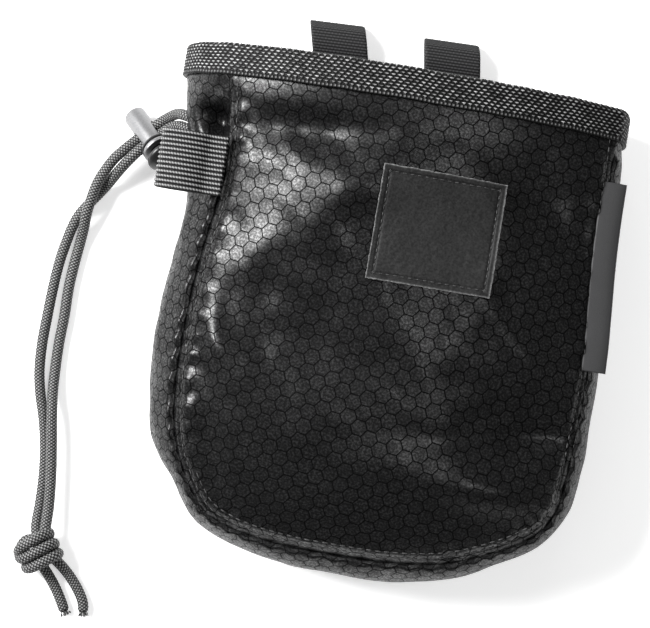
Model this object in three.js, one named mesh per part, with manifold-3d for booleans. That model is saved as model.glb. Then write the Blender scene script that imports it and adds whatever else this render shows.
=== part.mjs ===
// A climbing chalk bag with its drawcord and cord lock, lying on its back, in millimetres.
// +X runs to the right of the front panel, +Y to the mouth and +Z up out of the front panel.
// The origin lies on the flat of the back panel, where the bag rests.
import * as THREE from 'three';
import { mergeVertices } from 'three/addons/utils/BufferGeometryUtils.js';
import Module from 'manifold-3d';

const wasm = await Module();
wasm.setup();

// Bag
const mouthTop = 87.5; // top of the binding above the origin
const mouthCentre = -1.9; // middle of the mouth from the origin
const mouthWidth = 153.4; // outside the wall
const bagHeight = 174.5; // top of the binding to the bottom of the gusset
const bagDepth = 60; // height of the front panel's middle above the floor, at the mouth
const crownHeight = 15.5; // how far the front panel arches above its seams
const gussetBulge = 12; // how far the gusset stands out beyond the front seam
const backTuck = 13; // how far the back seam lies inside the gusset's outline
const wall = 1.5; // cloth with its coating and seam allowance
const seamGap = 0.45; // between two sewn panels
const fitGap = 0.35; // between touching pieces

// Binding of the mouth
const bindingHeight = 11;
const bindingCloth = 1.3;

// Webbing, band and labels
const loopWidth = 20;
const loopCloth = 1.4;
const loopAbove = 19.4; // belt loop above the binding
const loopBelow = 25.5; // sewn leg below the top of the binding
const loopGap = 6; // clear height inside the belt loop
const brushWidth = 20.2;
const brushReach = 22;
const brushCloth = 1.3;
const brushGap = 6.4; // clear height inside the brush loop
const brushTop = 31.7; // brush loop's upper edge below the top of the binding
const brushDroop = 0.2; // slope of the brush loop away from the seam
const patchWidth = 41.6;
const patchHeight = 38;
const patchTop = 33; // patch below the top of the binding
const patchLeft = -6.4;
const patchCloth = 1.2;
const patchLift = 0.45; // clear of the front panel
const labelLength = 64.5;
const labelReach = 6.3;
const labelTop = 25; // label below the top of the binding
const labelCloth = 1;
const labelSlope = 0.34; // fall of the label away from its seam

// Drawcord and its lock
const cordDiameter = 4;
const hemStations = 2; // stations spanned by the sewn hem that hides the cord's loop
const hemThickness = 4.8;
const hemClear = 1; // between the hem and the folded wall around it
const cordHoleDiameter = 10.4;
const cordHoleOut = 0.948; // share of half the mouth, from its middle
const cordHoleDown = 0.1513; // share of bagHeight
const cordHoleHeight = 19.1; // above the floor
const lockAngle = -44.5; // degrees, seen from above
const lockTilt = 30; // degrees, head end up
const lockRun = 5; // straight stretch of each strand on either side of the lock's middle
const barrelDiameter = 8.2;
const barrelLength = 19.5;
const barrelWall = 0.8;
const barrelFloor = 2.4;
const barrelRound = 0.7;
const flangeDiameter = 11.4;
const flangeThickness = 1.5;
const flangeRound = 0.4;
const ringThickness = 1;
const headDiameter = 12.2;
const headThickness = 2.8;
const headRound = 0.5;
const plungerTravel = 2.2;
const cordSpacing = 4.3; // between the two strands, along the barrel
const firstCord = 9.8; // first strand from the barrel's closed end

const halfMouth = mouthWidth / 2;
const cordRadius = cordDiameter / 2;
const bindingProud = bindingCloth + fitGap;
const mouthLift = 2 * loopCloth + 2 * fitGap + bindingProud; // the belt loops' legs lie under the binding
const wallTop = mouthTop - bindingCloth - fitGap;
const cordHole = new THREE.Vector3(
  mouthCentre - cordHoleOut * halfMouth,
  mouthTop - cordHoleDown * bagHeight,
  cordHoleHeight,
);

// Sections of the bag from the mouth to the bottom. down is a share of bagHeight, left and right are the
// front seam as shares of half the mouth, the bulges are shares of gussetBulge, the seams' heights of
// bagDepth, crown of crownHeight, and lift of mouthLift.
const sectionColumns = [
  'down', 'left', 'right', 'leftBulge', 'rightBulge', 'leftSeam', 'rightSeam', 'crown', 'lift',
];
const sectionRows = [
  [0.069, 0.784, 0.941, 1.38, 0.38, 0.78, 0.70, 1.00, 1.00],
  [0.123, 0.765, 0.947, 1.35, 0.49, 0.77, 0.70, 1.00, 0.72],
  [0.186, 0.750, 0.950, 1.22, 0.50, 0.75, 0.69, 1.02, 0.62],
  [0.249, 0.750, 0.954, 1.10, 0.52, 0.73, 0.69, 1.03, 0.50],
  [0.318, 0.759, 0.962, 1.01, 0.53, 0.72, 0.69, 1.02, 0.35],
  [0.398, 0.785, 0.977, 0.93, 0.53, 0.71, 0.68, 1.00, 0.10],
  [0.484, 0.804, 0.991, 0.93, 0.51, 0.70, 0.68, 0.98, 0.00],
  [0.570, 0.811, 0.995, 0.93, 0.53, 0.70, 0.67, 0.96, 0.00],
  [0.656, 0.810, 0.986, 0.90, 0.57, 0.69, 0.67, 0.92, 0.00],
  [0.736, 0.791, 0.977, 0.87, 0.58, 0.68, 0.66, 0.86, 0.00],
  [0.794, 0.757, 0.958, 0.72, 0.54, 0.67, 0.65, 0.78, 0.00],
  [0.842, 0.704, 0.898, 0.52, 0.50, 0.66, 0.64, 0.66, 0.00],
  [0.880, 0.648, 0.781, 0.52, 0.55, 0.65, 0.63, 0.54, 0.00],
  [0.910, 0.585, 0.644, 0.54, 0.60, 0.64, 0.62, 0.42, 0.00],
  [0.931, 0.471, 0.520, 0.60, 0.64, 0.63, 0.62, 0.28, 0.00],
  [0.944, 0.327, 0.364, 0.68, 0.69, 0.62, 0.61, 0.14, 0.00],
  [0.951, 0.145, 0.194, 0.75, 0.75, 0.62, 0.61, 0.00, 0.00],
];

// Main folds of the front panel: across and along are lengths as shares of half the mouth and of
// bagHeight, from the middle of the mouth, rise is a share of crownHeight, turn is in degrees.
const frontFolds = [
  { across: -0.50, down: 0.135, rise: -0.42, wide: 0.085, long: 0.46, turn: -9 },
  { across: -0.36, down: 0.225, rise: 0.26, wide: 0.10, long: 0.42, turn: 24 },
  { across: -0.52, down: 0.325, rise: -0.22, wide: 0.08, long: 0.36, turn: 30 },
  { across: -0.58, down: 0.405, rise: 0.20, wide: 0.10, long: 0.34, turn: 34 },
  { across: 0.72, down: 0.215, rise: -0.30, wide: 0.30, long: 0.13, turn: 60 },
  { across: 0.76, down: 0.640, rise: -0.34, wide: 0.14, long: 0.34, turn: -6 },
  { across: 0.74, down: 0.770, rise: 0.30, wide: 0.10, long: 0.34, turn: 4 },
  { across: -0.24, down: 0.530, rise: -0.16, wide: 0.24, long: 0.22, turn: 60 },
];

// Folds of the gusset beside the cord hole: around is a share of the section from back to front seam.
const gussetFolds = [
  { side: 'left', down: 0.142, around: 0.80, rise: -0.46, tall: 0.052, wide: 0.15 },
  { side: 'left', down: 0.135, around: 0.56, rise: 0.10, tall: 0.060, wide: 0.10 },
];

// Each strand of the drawcord past the lock, chosen by hand, and its stretch to the cord hole: places in
// the floor's plane from the middle of the cord hole, and heights above the floor.
const strandRoutes = {
  a: {
    toHole: [[-9.6, 1.3, 9.8], [-6.3, 2.8, 13.4], [-2.8, 2.3, 18.2], [-0.3, 1.6, 20.0]],
    toKnot: [
      [-23.1, -12.2, 9.2], [-26.3, -16.1, 8.9], [-29.1, -21.0, 8.2], [-31.2, -26.0, 7.4],
      [-32.5, -31.9, 6.7], [-33.4, -37.3, 5.6], [-33.8, -42.4, 3.7], [-34.5, -48.3, 2.2],
      [-35.2, -55.1, 2.1], [-35.8, -64.4, 2.1], [-35.7, -75.1, 2.1], [-36.0, -85.1, 2.1],
      [-35.7, -95.3, 2.4], [-35.0, -103.2, 3.8], [-33.6, -111.4, 5.7], [-31.9, -121.7, 6.2],
      [-30.3, -132.9, 6.2], [-29.3, -143.1, 6.5], [-29.0, -151.7, 7.2],
    ],
  },
  b: {
    toHole: [[-7.7, -2.1, 11.9], [-4.6, -1.4, 14.4], [-2.0, -1.9, 16.6], [-0.3, -2.2, 17.6]],
    toKnot: [
      [-20.4, -15.1, 10.6], [-23.8, -19.6, 8.2], [-27.2, -24.5, 4.9], [-30.5, -29.1, 2.6],
      [-33.8, -33.6, 2.1], [-36.6, -38.2, 2.1], [-38.3, -43.2, 2.1], [-39.6, -49.2, 2.1],
      [-40.7, -56.1, 2.1], [-41.4, -65.3, 2.1], [-41.8, -76.0, 2.1], [-42.0, -86.1, 2.1],
      [-41.3, -96.1, 2.1], [-39.6, -104.1, 2.1], [-37.1, -112.2, 2.1], [-34.8, -122.5, 2.1],
      [-33.5, -133.8, 2.1], [-33.2, -143.1, 2.2], [-33.0, -151.5, 3.4],
    ],
  },
};
const tailRoutes = {
  a: [[-27.6, -165.5, 4.8], [-23.9, -170.5, 2.6], [-21.1, -174.7, 2.1], [-17.9, -180.3, 2.1]],
  b: [
    [-22.6, -162.7, 5.2], [-19.0, -166.3, 3.0], [-14.6, -171.6, 2.1],
    [-12.0, -176.1, 2.1], [-11.4, -179.5, 2.1],
  ],
};
const lockPlace = [-22.5, 0.8, 4.1]; // middle of the barrel's closed end
const knotPlace = [-30.6, -159.5, 6.6]; // middle of the knot
const knotSize = { across: 17.4, along: 16.4, tall: 12 };

const frontColumns = 18;
const backColumns = 8;
const lowerSteps = 4;
const upperSteps = 5;
const bottomStation = 24; // stations between the mouth and the bottom
const turnStations = 4; // last of them, where the seam turns along the bottom
const seamAngle = THREE.MathUtils.degToRad(50); // where the gusset's curve meets the front seam
const widest = 0.44; // height of the gusset's widest line, as a share of its front seam
const crownPower = 2.2;
const foldFree = 0.06; // share of bagHeight below the binding over which the folds grow

const sectionValues = new THREE.CubicInterpolant(
  sectionRows.map((_, row) => row),
  sectionRows.flat(),
  sectionColumns.length,
);

// The named columns at a place between the table's rows.
function sectionAt(place) {
  const values = Array.from(sectionValues.evaluate(place));
  return Object.fromEntries(sectionColumns.map((name, column) => [name, values[column]]));
}

function fromHole([x, y, z]) {
  return new THREE.Vector3(cordHole.x + x, cordHole.y + y, z);
}

function mix(from, to, share) {
  return from + (to - from) * share;
}

function bell(distance, spread) {
  return Math.exp(-((distance / spread) ** 2));
}

// Stations from the top of the wall to the bottom: the first two share the mouth's section, so that the
// wall stands straight inside the binding.
function makeStations() {
  const last = sectionRows.length - 1;
  const mouth = sectionAt(0);
  const places = [{ ...mouth, y: wallTop, free: 0 }];
  for (let step = 0; step <= bottomStation; step += 1) {
    const section = sectionAt((last * step) / bottomStation);
    const y = mouthTop - section.down * bagHeight;
    const free = THREE.MathUtils.smoothstep(section.down - mouth.down, 0, foldFree);
    places.push({ ...section, y, free, lift: Math.max(section.lift, 0) });
  }
  return places;
}

const stations = makeStations();
const lastStation = stations.length - 1;

function frontFold(x, y) {
  return frontFolds.reduce((sum, fold) => {
    const turn = THREE.MathUtils.degToRad(fold.turn);
    const acrossX = x - mouthCentre - fold.across * halfMouth;
    const alongY = y - mouthTop + fold.down * bagHeight;
    const length = acrossX * Math.cos(turn) + alongY * Math.sin(turn);
    const width = -acrossX * Math.sin(turn) + alongY * Math.cos(turn);
    const shape = bell(length, fold.long * halfMouth) * bell(width, fold.wide * halfMouth);
    return sum + fold.rise * crownHeight * shape;
  }, 0);
}

// The front seam on one side, with the outward direction in the floor's plane.
function makeSeam(side) {
  const sign = side === 'left' ? -1 : 1;
  const points = stations.map((station) => new THREE.Vector3(
    mouthCentre + sign * station[side] * halfMouth,
    station.y,
    station[`${side}Seam`] * bagDepth,
  ));
  return points.map((point, index) => {
    const before = points[Math.max(index - 1, 0)];
    const middle = new THREE.Vector3(mouthCentre, point.y, point.z);
    const after = index < lastStation ? points[index + 1] : middle;
    const along = after.clone().sub(before).setZ(0).normalize();
    const straight = new THREE.Vector3(sign, 0, 0);
    const out = index < 2 ? straight : new THREE.Vector3(-sign * along.y, sign * along.x, 0);
    return { side, front: point, out, station: stations[index] };
  });
}

const leftSeam = makeSeam('left');
const rightSeam = makeSeam('right');
const seam = [...leftSeam, ...rightSeam.slice().reverse()];

// One section of the gusset from the back seam out to its widest line and in to the front seam.
function gussetSection({ side, front, out, station }) {
  const bulge = station[`${side}Bulge`] * gussetBulge;
  const floor = station.lift * mouthLift;
  const middle = front.z * widest;
  const point = (inset, z) => front.clone().addScaledVector(out, bulge - inset).setZ(z);
  const points = [];
  for (let step = 0; step < lowerSteps; step += 1) {
    const angle = (step / lowerSteps) * (Math.PI / 2);
    points.push(point(backTuck * (1 - Math.sin(angle)), mix(floor, middle, 1 - Math.cos(angle))));
  }
  for (let step = 0; step <= upperSteps; step += 1) {
    const angle = (step / upperSteps) * seamAngle;
    const inset = (bulge * (1 - Math.cos(angle))) / (1 - Math.cos(seamAngle));
    points.push(point(inset, mix(middle, front.z, Math.sin(angle) / Math.sin(seamAngle))));
  }
  return points.map((place, index) => {
    const around = index / (points.length - 1);
    const push = gussetFolds.filter((fold) => fold.side === side).reduce((sum, fold) => {
      const edge = Math.sin(Math.PI * around) ** 0.5;
      const shape = bell(station.down - fold.down, fold.tall) * bell(around - fold.around, fold.wide);
      return sum + fold.rise * gussetBulge * shape * edge * station.free;
    }, 0);
    return place.addScaledVector(out, push).add(new THREE.Vector3(0, 0, push * 0.5 * around));
  });
}

const gussetGrid = seam.map(gussetSection);

function rowBetween(start, end, columns, height) {
  return Array.from({ length: columns + 1 }, (_, column) => {
    const share = column / columns;
    const point = start.clone().lerp(end, share);
    point.z += height(point, 2 * share - 1);
    return point;
  });
}

const frontGrid = stations.map((station, index) => rowBetween(
  leftSeam[index].front,
  rightSeam[index].front,
  frontColumns,
  (point, across) => {
    const inside = 1 - Math.abs(across) ** crownPower;
    const free = station.free * (1 - across ** 8) * Math.min(1, station.crown * 2);
    return station.crown * crownHeight * inside + frontFold(point.x, point.y) * free;
  },
));
const backGrid = stations.map((_, index) => rowBetween(
  gussetGrid[index][0],
  gussetGrid[gussetGrid.length - 1 - index][0],
  backColumns,
  () => 0,
));

function gridNormal(grid, row, column) {
  const rows = grid.length - 1;
  const columns = grid[0].length - 1;
  const down = grid[Math.min(row + 1, rows)][column].clone().sub(grid[Math.max(row - 1, 0)][column]);
  const over = grid[row][Math.min(column + 1, columns)].clone().sub(grid[row][Math.max(column - 1, 0)]);
  return down.cross(over).normalize();
}

// Normals of every point of a grid, turned to the outside of the bag.
function outwardNormals(grid, outside) {
  const normals = grid.map((row, index) => row.map((_, column) => gridNormal(grid, index, column)));
  const probe = Math.floor(grid.length / 2);
  const flip = normals[probe][Math.floor(grid[0].length / 2)].dot(outside(probe)) < 0 ? -1 : 1;
  normals.flat().forEach((normal) => normal.multiplyScalar(flip));
  return normals;
}

const gussetNormals = outwardNormals(gussetGrid, (index) => seam[index].out);
const frontNormals = outwardNormals(frontGrid, () => new THREE.Vector3(0, 0, 1));
const backNormals = outwardNormals(backGrid, () => new THREE.Vector3(0, 0, -1));

function mitre(point, first, second, depth) {
  const joined = first.clone().add(second).multiplyScalar(1 / (1 + first.dot(second)));
  return point.clone().addScaledVector(joined, -depth);
}

// Inner surface of a panel. Its seam points take the mitre with the gusset's own edge.
function panelInner(grid, normals, gussetColumn) {
  const columns = grid[0].length - 1;
  const inner = grid.map((row, index) => row.map((point, column) => {
    if (column > 0 && column < columns) return point.clone().addScaledVector(normals[index][column], -wall);
    const place = column === 0 ? index : gussetGrid.length - 1 - index;
    return mitre(point, normals[index][column], gussetNormals[place][gussetColumn], wall);
  }));
  const bottom = inner[lastStation];
  inner[lastStation] = rowBetween(bottom[0], bottom[columns], columns, () => 0);
  return inner;
}

const frontInner = panelInner(frontGrid, frontNormals, gussetGrid[0].length - 1);
const backInner = panelInner(backGrid, backNormals, 0);
const gussetInner = gussetGrid.map((section, place) => {
  const end = section.length - 1;
  const panelEdge = (grid) => (place <= lastStation
    ? grid[place][0] : grid[gussetGrid.length - 1 - place][grid[0].length - 1]);
  return section.map((point, column) => {
    if (column === 0) return panelEdge(backInner).clone();
    if (column === end) return panelEdge(frontInner).clone();
    return point.clone().addScaledVector(gussetNormals[place][column], -wall);
  });
});

// Moves the seam edges of a panel inwards by half the seam gap, along the panel.
function trimPanel(outer, inner, normals) {
  const columns = outer[0].length - 1;
  const shiftsAt = (column) => outer.map((row, index) => {
    const before = outer[Math.max(index - 1, 0)][column];
    const after = index < lastStation ? outer[index + 1][column] : row[columns - column];
    const along = after.clone().sub(before).normalize();
    const inward = along.cross(normals[index][column]).normalize();
    const middle = outer[Math.min(index, lastStation - turnStations)][columns / 2];
    if (inward.dot(middle.clone().sub(row[column])) < 0) inward.negate();
    return inward.multiplyScalar(seamGap / 2);
  });
  const shifts = { 0: shiftsAt(0), [columns]: shiftsAt(columns) };
  return [outer, inner].map((grid) => {
    const moved = grid.map((row, index) => row.map((point, column) => (
      shifts[column] ? point.clone().add(shifts[column][index]) : point.clone()
    )));
    const bottom = moved[lastStation];
    moved[lastStation] = rowBetween(bottom[0], bottom[columns], columns, () => 0);
    return moved;
  });
}

function geometryFrom(points, triangles) {
  const geometry = new THREE.BufferGeometry();
  const places = points.flatMap((point) => point.toArray());
  geometry.setAttribute('position', new THREE.Float32BufferAttribute(places, 3));
  const volume = triangles.reduce((sum, [a, b, c]) => (
    sum + points[a].dot(points[b].clone().cross(points[c]))
  ), 0);
  const outward = volume < 0 ? triangles.map(([a, b, c]) => [a, c, b]) : triangles;
  geometry.setIndex(outward.flat());
  return geometry;
}

function quad(a, b, c, d) {
  return [[a, b, c], [a, c, d]];
}

// A sheet with thickness: two grids of points and the four edges between them.
function sheet(outer, inner) {
  const rows = outer.length;
  const columns = outer[0].length;
  const at = (side, row, column) => (side * rows + row) * columns + column;
  const triangles = [];
  for (let row = 0; row < rows - 1; row += 1) {
    for (let column = 0; column < columns - 1; column += 1) {
      [0, 1].forEach((side) => {
        const corners = [at(side, row, column), at(side, row + 1, column),
          at(side, row + 1, column + 1), at(side, row, column + 1)];
        triangles.push(...quad(...(side === 0 ? corners : corners.reverse())));
      });
    }
    triangles.push(...quad(at(0, row, 0), at(1, row, 0), at(1, row + 1, 0), at(0, row + 1, 0)));
    const end = columns - 1;
    triangles.push(...quad(at(0, row, end), at(0, row + 1, end), at(1, row + 1, end), at(1, row, end)));
  }
  for (let column = 0; column < columns - 1; column += 1) {
    const end = rows - 1;
    const next = column + 1;
    triangles.push(...quad(at(0, 0, column), at(0, 0, next), at(1, 0, next), at(1, 0, column)));
    triangles.push(...quad(at(0, end, column), at(1, end, column), at(1, end, next), at(0, end, next)));
  }
  return geometryFrom([...outer.flat(), ...inner.flat()], triangles);
}

// A closed ring: one polygon of points for each place around it.
function ring(polygons) {
  const corners = polygons[0].length;
  const triangles = polygons.flatMap((polygon, place) => polygon.flatMap((_, corner) => {
    const here = place * corners;
    const next = ((place + 1) % polygons.length) * corners;
    const over = (corner + 1) % corners;
    return quad(here + corner, next + corner, next + over, here + over);
  }));
  return geometryFrom(polygons.flat(), triangles);
}

function toManifold(geometry) {
  const bare = geometry.clone();
  bare.deleteAttribute('normal');
  bare.deleteAttribute('uv');
  const merged = mergeVertices(bare, 1e-4);
  return new wasm.Manifold(new wasm.Mesh({
    numProp: 3,
    vertProperties: new Float32Array(merged.attributes.position.array),
    triVerts: new Uint32Array(merged.index.array),
  }));
}

function fromManifold(solid) {
  const result = solid.getMesh();
  const geometry = new THREE.BufferGeometry();
  geometry.setAttribute('position', new THREE.BufferAttribute(new Float32Array(result.vertProperties), 3));
  geometry.setIndex(new THREE.BufferAttribute(new Uint32Array(result.triVerts), 1));
  return geometry;
}

const bag = new THREE.Group();

function addPiece(name, geometry, finish, place = bag) {
  const mesh = new THREE.Mesh(geometry, new THREE.MeshStandardMaterial(finish));
  mesh.name = name;
  place.add(mesh);
  return mesh;
}

const ripstop = { color: 0x17181a, roughness: 0.42, metalness: 0 };
const bindingFinish = { color: 0x1d1d1f, roughness: 0.7, metalness: 0 };
const webbing = { color: 0x2c2c2f, roughness: 0.75, metalness: 0 };
const woven = { color: 0x131314, roughness: 0.8, metalness: 0 };
const cordFinish = { color: 0x2a2a2c, roughness: 0.7, metalness: 0 };
const metal = { color: 0xb9bcc0, roughness: 0.25, metalness: 1 };
const plastic = { color: 0x0c0c0d, roughness: 0.3, metalness: 0 };

function addPanels() {
  addPiece('front_panel', sheet(...trimPanel(frontGrid, frontInner, frontNormals)), ripstop);
  addPiece('back_panel', sheet(...trimPanel(backGrid, backInner, backNormals)), ripstop);
}

// The gusset takes the same mitred edges as the panels, moved the other way, and has the cord's hole.
function addGusset() {
  const edge = gussetGrid[0].length - 1;
  const inner = gussetInner.map((section) => section.map((point) => point.clone()));
  const outer = gussetGrid.map((section) => section.map((point) => point.clone()));
  gussetGrid.forEach((section, place) => [[0, 1], [edge, edge - 1]].forEach(([column, next]) => {
    const before = gussetGrid[Math.max(place - 1, 0)][column];
    const after = gussetGrid[Math.min(place + 1, gussetGrid.length - 1)][column];
    const along = after.clone().sub(before).normalize();
    const inward = section[next].clone().sub(section[column]);
    inward.addScaledVector(along, -inward.dot(along)).normalize().multiplyScalar(seamGap / 2);
    outer[place][column].add(inward);
    inner[place][column].add(inward);
  }));
  const hole = new THREE.CylinderGeometry(cordHoleDiameter / 2, cordHoleDiameter / 2, gussetBulge, 20);
  hole.rotateZ(Math.PI / 2).translate(...cordHole.toArray());
  addPiece('gusset', fromManifold(toManifold(sheet(outer, inner)).subtract(toManifold(hole))), ripstop);
}

// The wall's outline around the bag at one station, from the back seam on the left, with a mitred
// outward direction in the mouth's plane at each point.
function mitredOutline(index) {
  const right = gussetGrid[gussetGrid.length - 1 - index];
  const points = [...gussetGrid[index], ...frontGrid[index].slice(1, -1), ...right.slice().reverse(),
    ...backGrid[index].slice(1, -1).reverse()];
  const faces = points.map((point, place) => {
    const along = points[(place + 1) % points.length].clone().sub(point).setY(0).normalize();
    return new THREE.Vector3(-along.z, 0, along.x);
  });
  return points.map((point, place) => {
    const before = faces[(place + faces.length - 1) % faces.length];
    const after = faces[place];
    const out = before.clone().add(after).multiplyScalar(1 / (1 + before.dot(after)));
    return { point, out };
  });
}

function addBinding() {
  const inner = -(wall + fitGap);
  const round = 0.8;
  const bottom = mouthTop - bindingHeight;
  const profile = [
    [bindingProud, bottom], [bindingProud, mouthTop - round], [bindingProud - round, mouthTop],
    [inner - bindingCloth + round, mouthTop], [inner - bindingCloth, mouthTop - round],
    [inner - bindingCloth, bottom], [inner, bottom], [inner, wallTop + fitGap],
    [fitGap, wallTop + fitGap], [fitGap, bottom],
  ];
  const polygons = mitredOutline(0).map(({ point, out }) => (
    profile.map(([offset, y]) => point.clone().addScaledVector(out, offset).setY(y))
  ));
  addPiece('rim_binding', ring(polygons), bindingFinish);
}

// A sewn hem that follows the inside of the wall, from the station above the cord hole.
function addHem() {
  const first = stations.findLastIndex((station) => station.y >= cordHole.y);
  const outlines = Array.from({ length: hemStations }, (_, row) => mitredOutline(first + row));
  const depths = [wall + hemClear, wall + hemClear + hemThickness];
  const polygons = outlines[0].map((_, place) => {
    const side = (depth) => outlines.map((outline) => (
      outline[place].point.clone().addScaledVector(outline[place].out, -depth)
    ));
    return [...side(depths[0]), ...side(depths[1]).reverse()];
  });
  addPiece('cord_hem', ring(polygons), ripstop);
}

function bandShape(rows, cloth, gap, length) {
  const half = (row) => (row.open * gap) / 2;
  const outer = rows.filter((row) => !row.inner);
  const shape = new THREE.Shape();
  const upper = outer.map((row) => [row.along * length, half(row) + (row.thick ?? 1) * cloth]);
  const lower = outer.map((row) => [row.along * length, -half(row) - (row.thick ?? 1) * cloth]).reverse();
  shape.setFromPoints([...upper, ...lower].map(([x, y]) => new THREE.Vector2(x, y)));
  const holeRows = rows.filter((row) => row.hole);
  const top = holeRows.map((row) => [row.along * length, half(row)]);
  const under = holeRows.slice(1, -1).map((row) => [row.along * length, -half(row)]).reverse();
  const hole = [...top, ...under].reverse();
  shape.holes.push(new THREE.Path(hole.map(([x, y]) => new THREE.Vector2(x, y))));
  return shape;
}

// Band folded into a loop: open is the clear height as a share of its gap, along a share of its length.
const bandRows = [
  { along: 0, open: 0 },
  { along: 0.2, open: 0, hole: true },
  { along: 0.34, open: 0.62, hole: true },
  { along: 0.48, open: 0.94, hole: true },
  { along: 0.62, open: 1, hole: true },
  { along: 0.76, open: 0.96, hole: true },
  { along: 0.86, open: 0.74, hole: true },
  { along: 0.91, open: 0.46, hole: true },
  { along: 0.94, open: 0, hole: true, inner: true },
  { along: 0.965, open: 0.28, thick: 0.9 },
  { along: 1, open: 0, thick: 0.4 },
];

function addBrushLoop() {
  const top = mouthTop - brushTop;
  const ends = [top, top - brushWidth].map((y) => seamPoint(leftSeam, y));
  const root = { x: Math.min(ends[0].x, ends[1].x), z: Math.max(ends[0].z, ends[1].z) };
  const shape = bandShape(bandRows, brushCloth, brushGap, brushReach);
  const geometry = new THREE.ExtrudeGeometry(shape, { depth: brushWidth, bevelEnabled: false });
  // the shape's length runs to -X and its height to +Z, and the extrusion runs to -Y
  const basis = new THREE.Matrix4().makeBasis(
    new THREE.Vector3(-1, 0, -brushDroop).normalize(),
    new THREE.Vector3(-brushDroop, 0, 1).normalize(),
    new THREE.Vector3(0, -1, 0),
  );
  basis.setPosition(root.x - fitGap, top, root.z + brushCloth + 2 * fitGap);
  geometry.applyMatrix4(basis);
  addPiece('brush_loop', mergedOutward(geometry), webbing);
}

// The same body with shared corners and its faces outwards.
function mergedOutward(geometry) {
  const bare = geometry.clone();
  bare.deleteAttribute('normal');
  bare.deleteAttribute('uv');
  const merged = mergeVertices(bare, 1e-4);
  const { position } = merged.attributes;
  const points = Array.from({ length: position.count }, (_, place) => (
    new THREE.Vector3().fromBufferAttribute(position, place)
  ));
  const index = Array.from(merged.index.array);
  const triangles = [];
  for (let place = 0; place < index.length; place += 3) triangles.push(index.slice(place, place + 3));
  return geometryFrom(points, triangles);
}

// A point of a seam at a height between its stations.
function seamPoint(points, y) {
  const after = points.findIndex(({ front }) => front.y <= y);
  const [high, low] = [points[after - 1].front, points[after].front];
  return high.clone().lerp(low, (high.y - y) / (high.y - low.y));
}

// Belt loops: the legs lie sewn together under the binding and the band opens above it.
const beltLoops = [
  { name: 'belt_loop_left', across: -0.307, lean: 7 },
  { name: 'belt_loop_right', across: 0.215, lean: 5 },
];
// Upper leg of a belt loop: along is a share of its stretch above the binding, up of its gap.
const bandBow = [
  { along: 0.2, up: 0.36 },
  { along: 0.42, up: 0.86 },
  { along: 0.62, up: 1 },
  { along: 0.8, up: 0.9 },
  { along: 0.92, up: 0.55 },
];

function addBeltLoops() {
  const open = loopBelow + fitGap; // where the band opens, just above the binding
  const tall = loopAbove - fitGap;
  const top = 2 * loopCloth;
  const outer = [[0, 0], [0, top], [open, top]];
  const clear = [[open, loopCloth]];
  bandBow.forEach(({ along, up }) => {
    outer.push([open + along * tall, top + up * loopGap]);
    clear.push([open + along * tall, top + up * loopGap - loopCloth]);
  });
  outer.push([open + tall, top], [open + tall, 0.5 * top], [open + 0.95 * tall, 0]);
  clear.push([open + 0.93 * tall, 1.5 * loopCloth], [open + 0.9 * tall, loopCloth]);
  const draw = (path, points) => {
    path.setFromPoints(points.map(([y, z]) => new THREE.Vector2(y, z)));
    return path;
  };
  const shape = draw(new THREE.Shape(), outer);
  shape.holes.push(draw(new THREE.Path(), clear.reverse()));
  beltLoops.forEach(({ name, across, lean }) => {
    const geometry = new THREE.ExtrudeGeometry(shape, { depth: loopWidth, bevelEnabled: false });
    geometry.applyMatrix4(new THREE.Matrix4().makeBasis(
      new THREE.Vector3(0, 1, 0),
      new THREE.Vector3(0, 0, 1),
      new THREE.Vector3(1, 0, 0),
    ));
    geometry.translate(-loopWidth / 2, -loopBelow, 0);
    const mesh = addPiece(name, mergedOutward(geometry), webbing);
    mesh.position.set(mouthCentre + across * halfMouth, mouthTop, 0);
    mesh.rotation.z = THREE.MathUtils.degToRad(lean);
  });
}

// Height of the faceted front panel above a place.
function frontHeight(x, y) {
  const row = Math.min(Math.max(stations.findIndex((station) => station.y <= y), 1), lastStation);
  const down = (stations[row - 1].y - y) / (stations[row - 1].y - stations[row].y);
  const heightIn = (points) => {
    const share = THREE.MathUtils.clamp((x - points[0].x) / (points[frontColumns].x - points[0].x), 0, 1);
    const column = Math.min(Math.floor(share * frontColumns), frontColumns - 1);
    return mix(points[column].z, points[column + 1].z, share * frontColumns - column);
  };
  return mix(heightIn(frontGrid[row - 1]), heightIn(frontGrid[row]), down);
}

function addPatch() {
  const steps = 8;
  const top = mouthTop - patchTop;
  const grid = (lift) => Array.from({ length: steps + 1 }, (_, row) => (
    Array.from({ length: steps + 1 }, (__, column) => {
      const x = patchLeft + (column / steps) * patchWidth;
      const y = top - (row / steps) * patchHeight;
      return new THREE.Vector3(x, y, frontHeight(x, y) + lift);
    })
  ));
  addPiece('front_patch', sheet(grid(patchLift + patchCloth), grid(patchLift)), woven);
}

// A folded label sewn into the right seam, standing out over the gusset.
function addLabel() {
  const steps = 12;
  const grid = (lift) => Array.from({ length: steps + 1 }, (_, row) => {
    const y = mouthTop - labelTop - (row / steps) * labelLength;
    const root = seamPoint(rightSeam, y).add(new THREE.Vector3(fitGap, 0, fitGap + lift));
    return [root, root.clone().add(new THREE.Vector3(labelReach, 0, -labelSlope * labelReach))];
  });
  addPiece('side_label', sheet(grid(labelCloth), grid(0)), woven);
}

function lathePiece(profile, sides = 24) {
  return new THREE.LatheGeometry(profile.map(([radius, along]) => new THREE.Vector2(radius, along)), sides);
}

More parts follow.
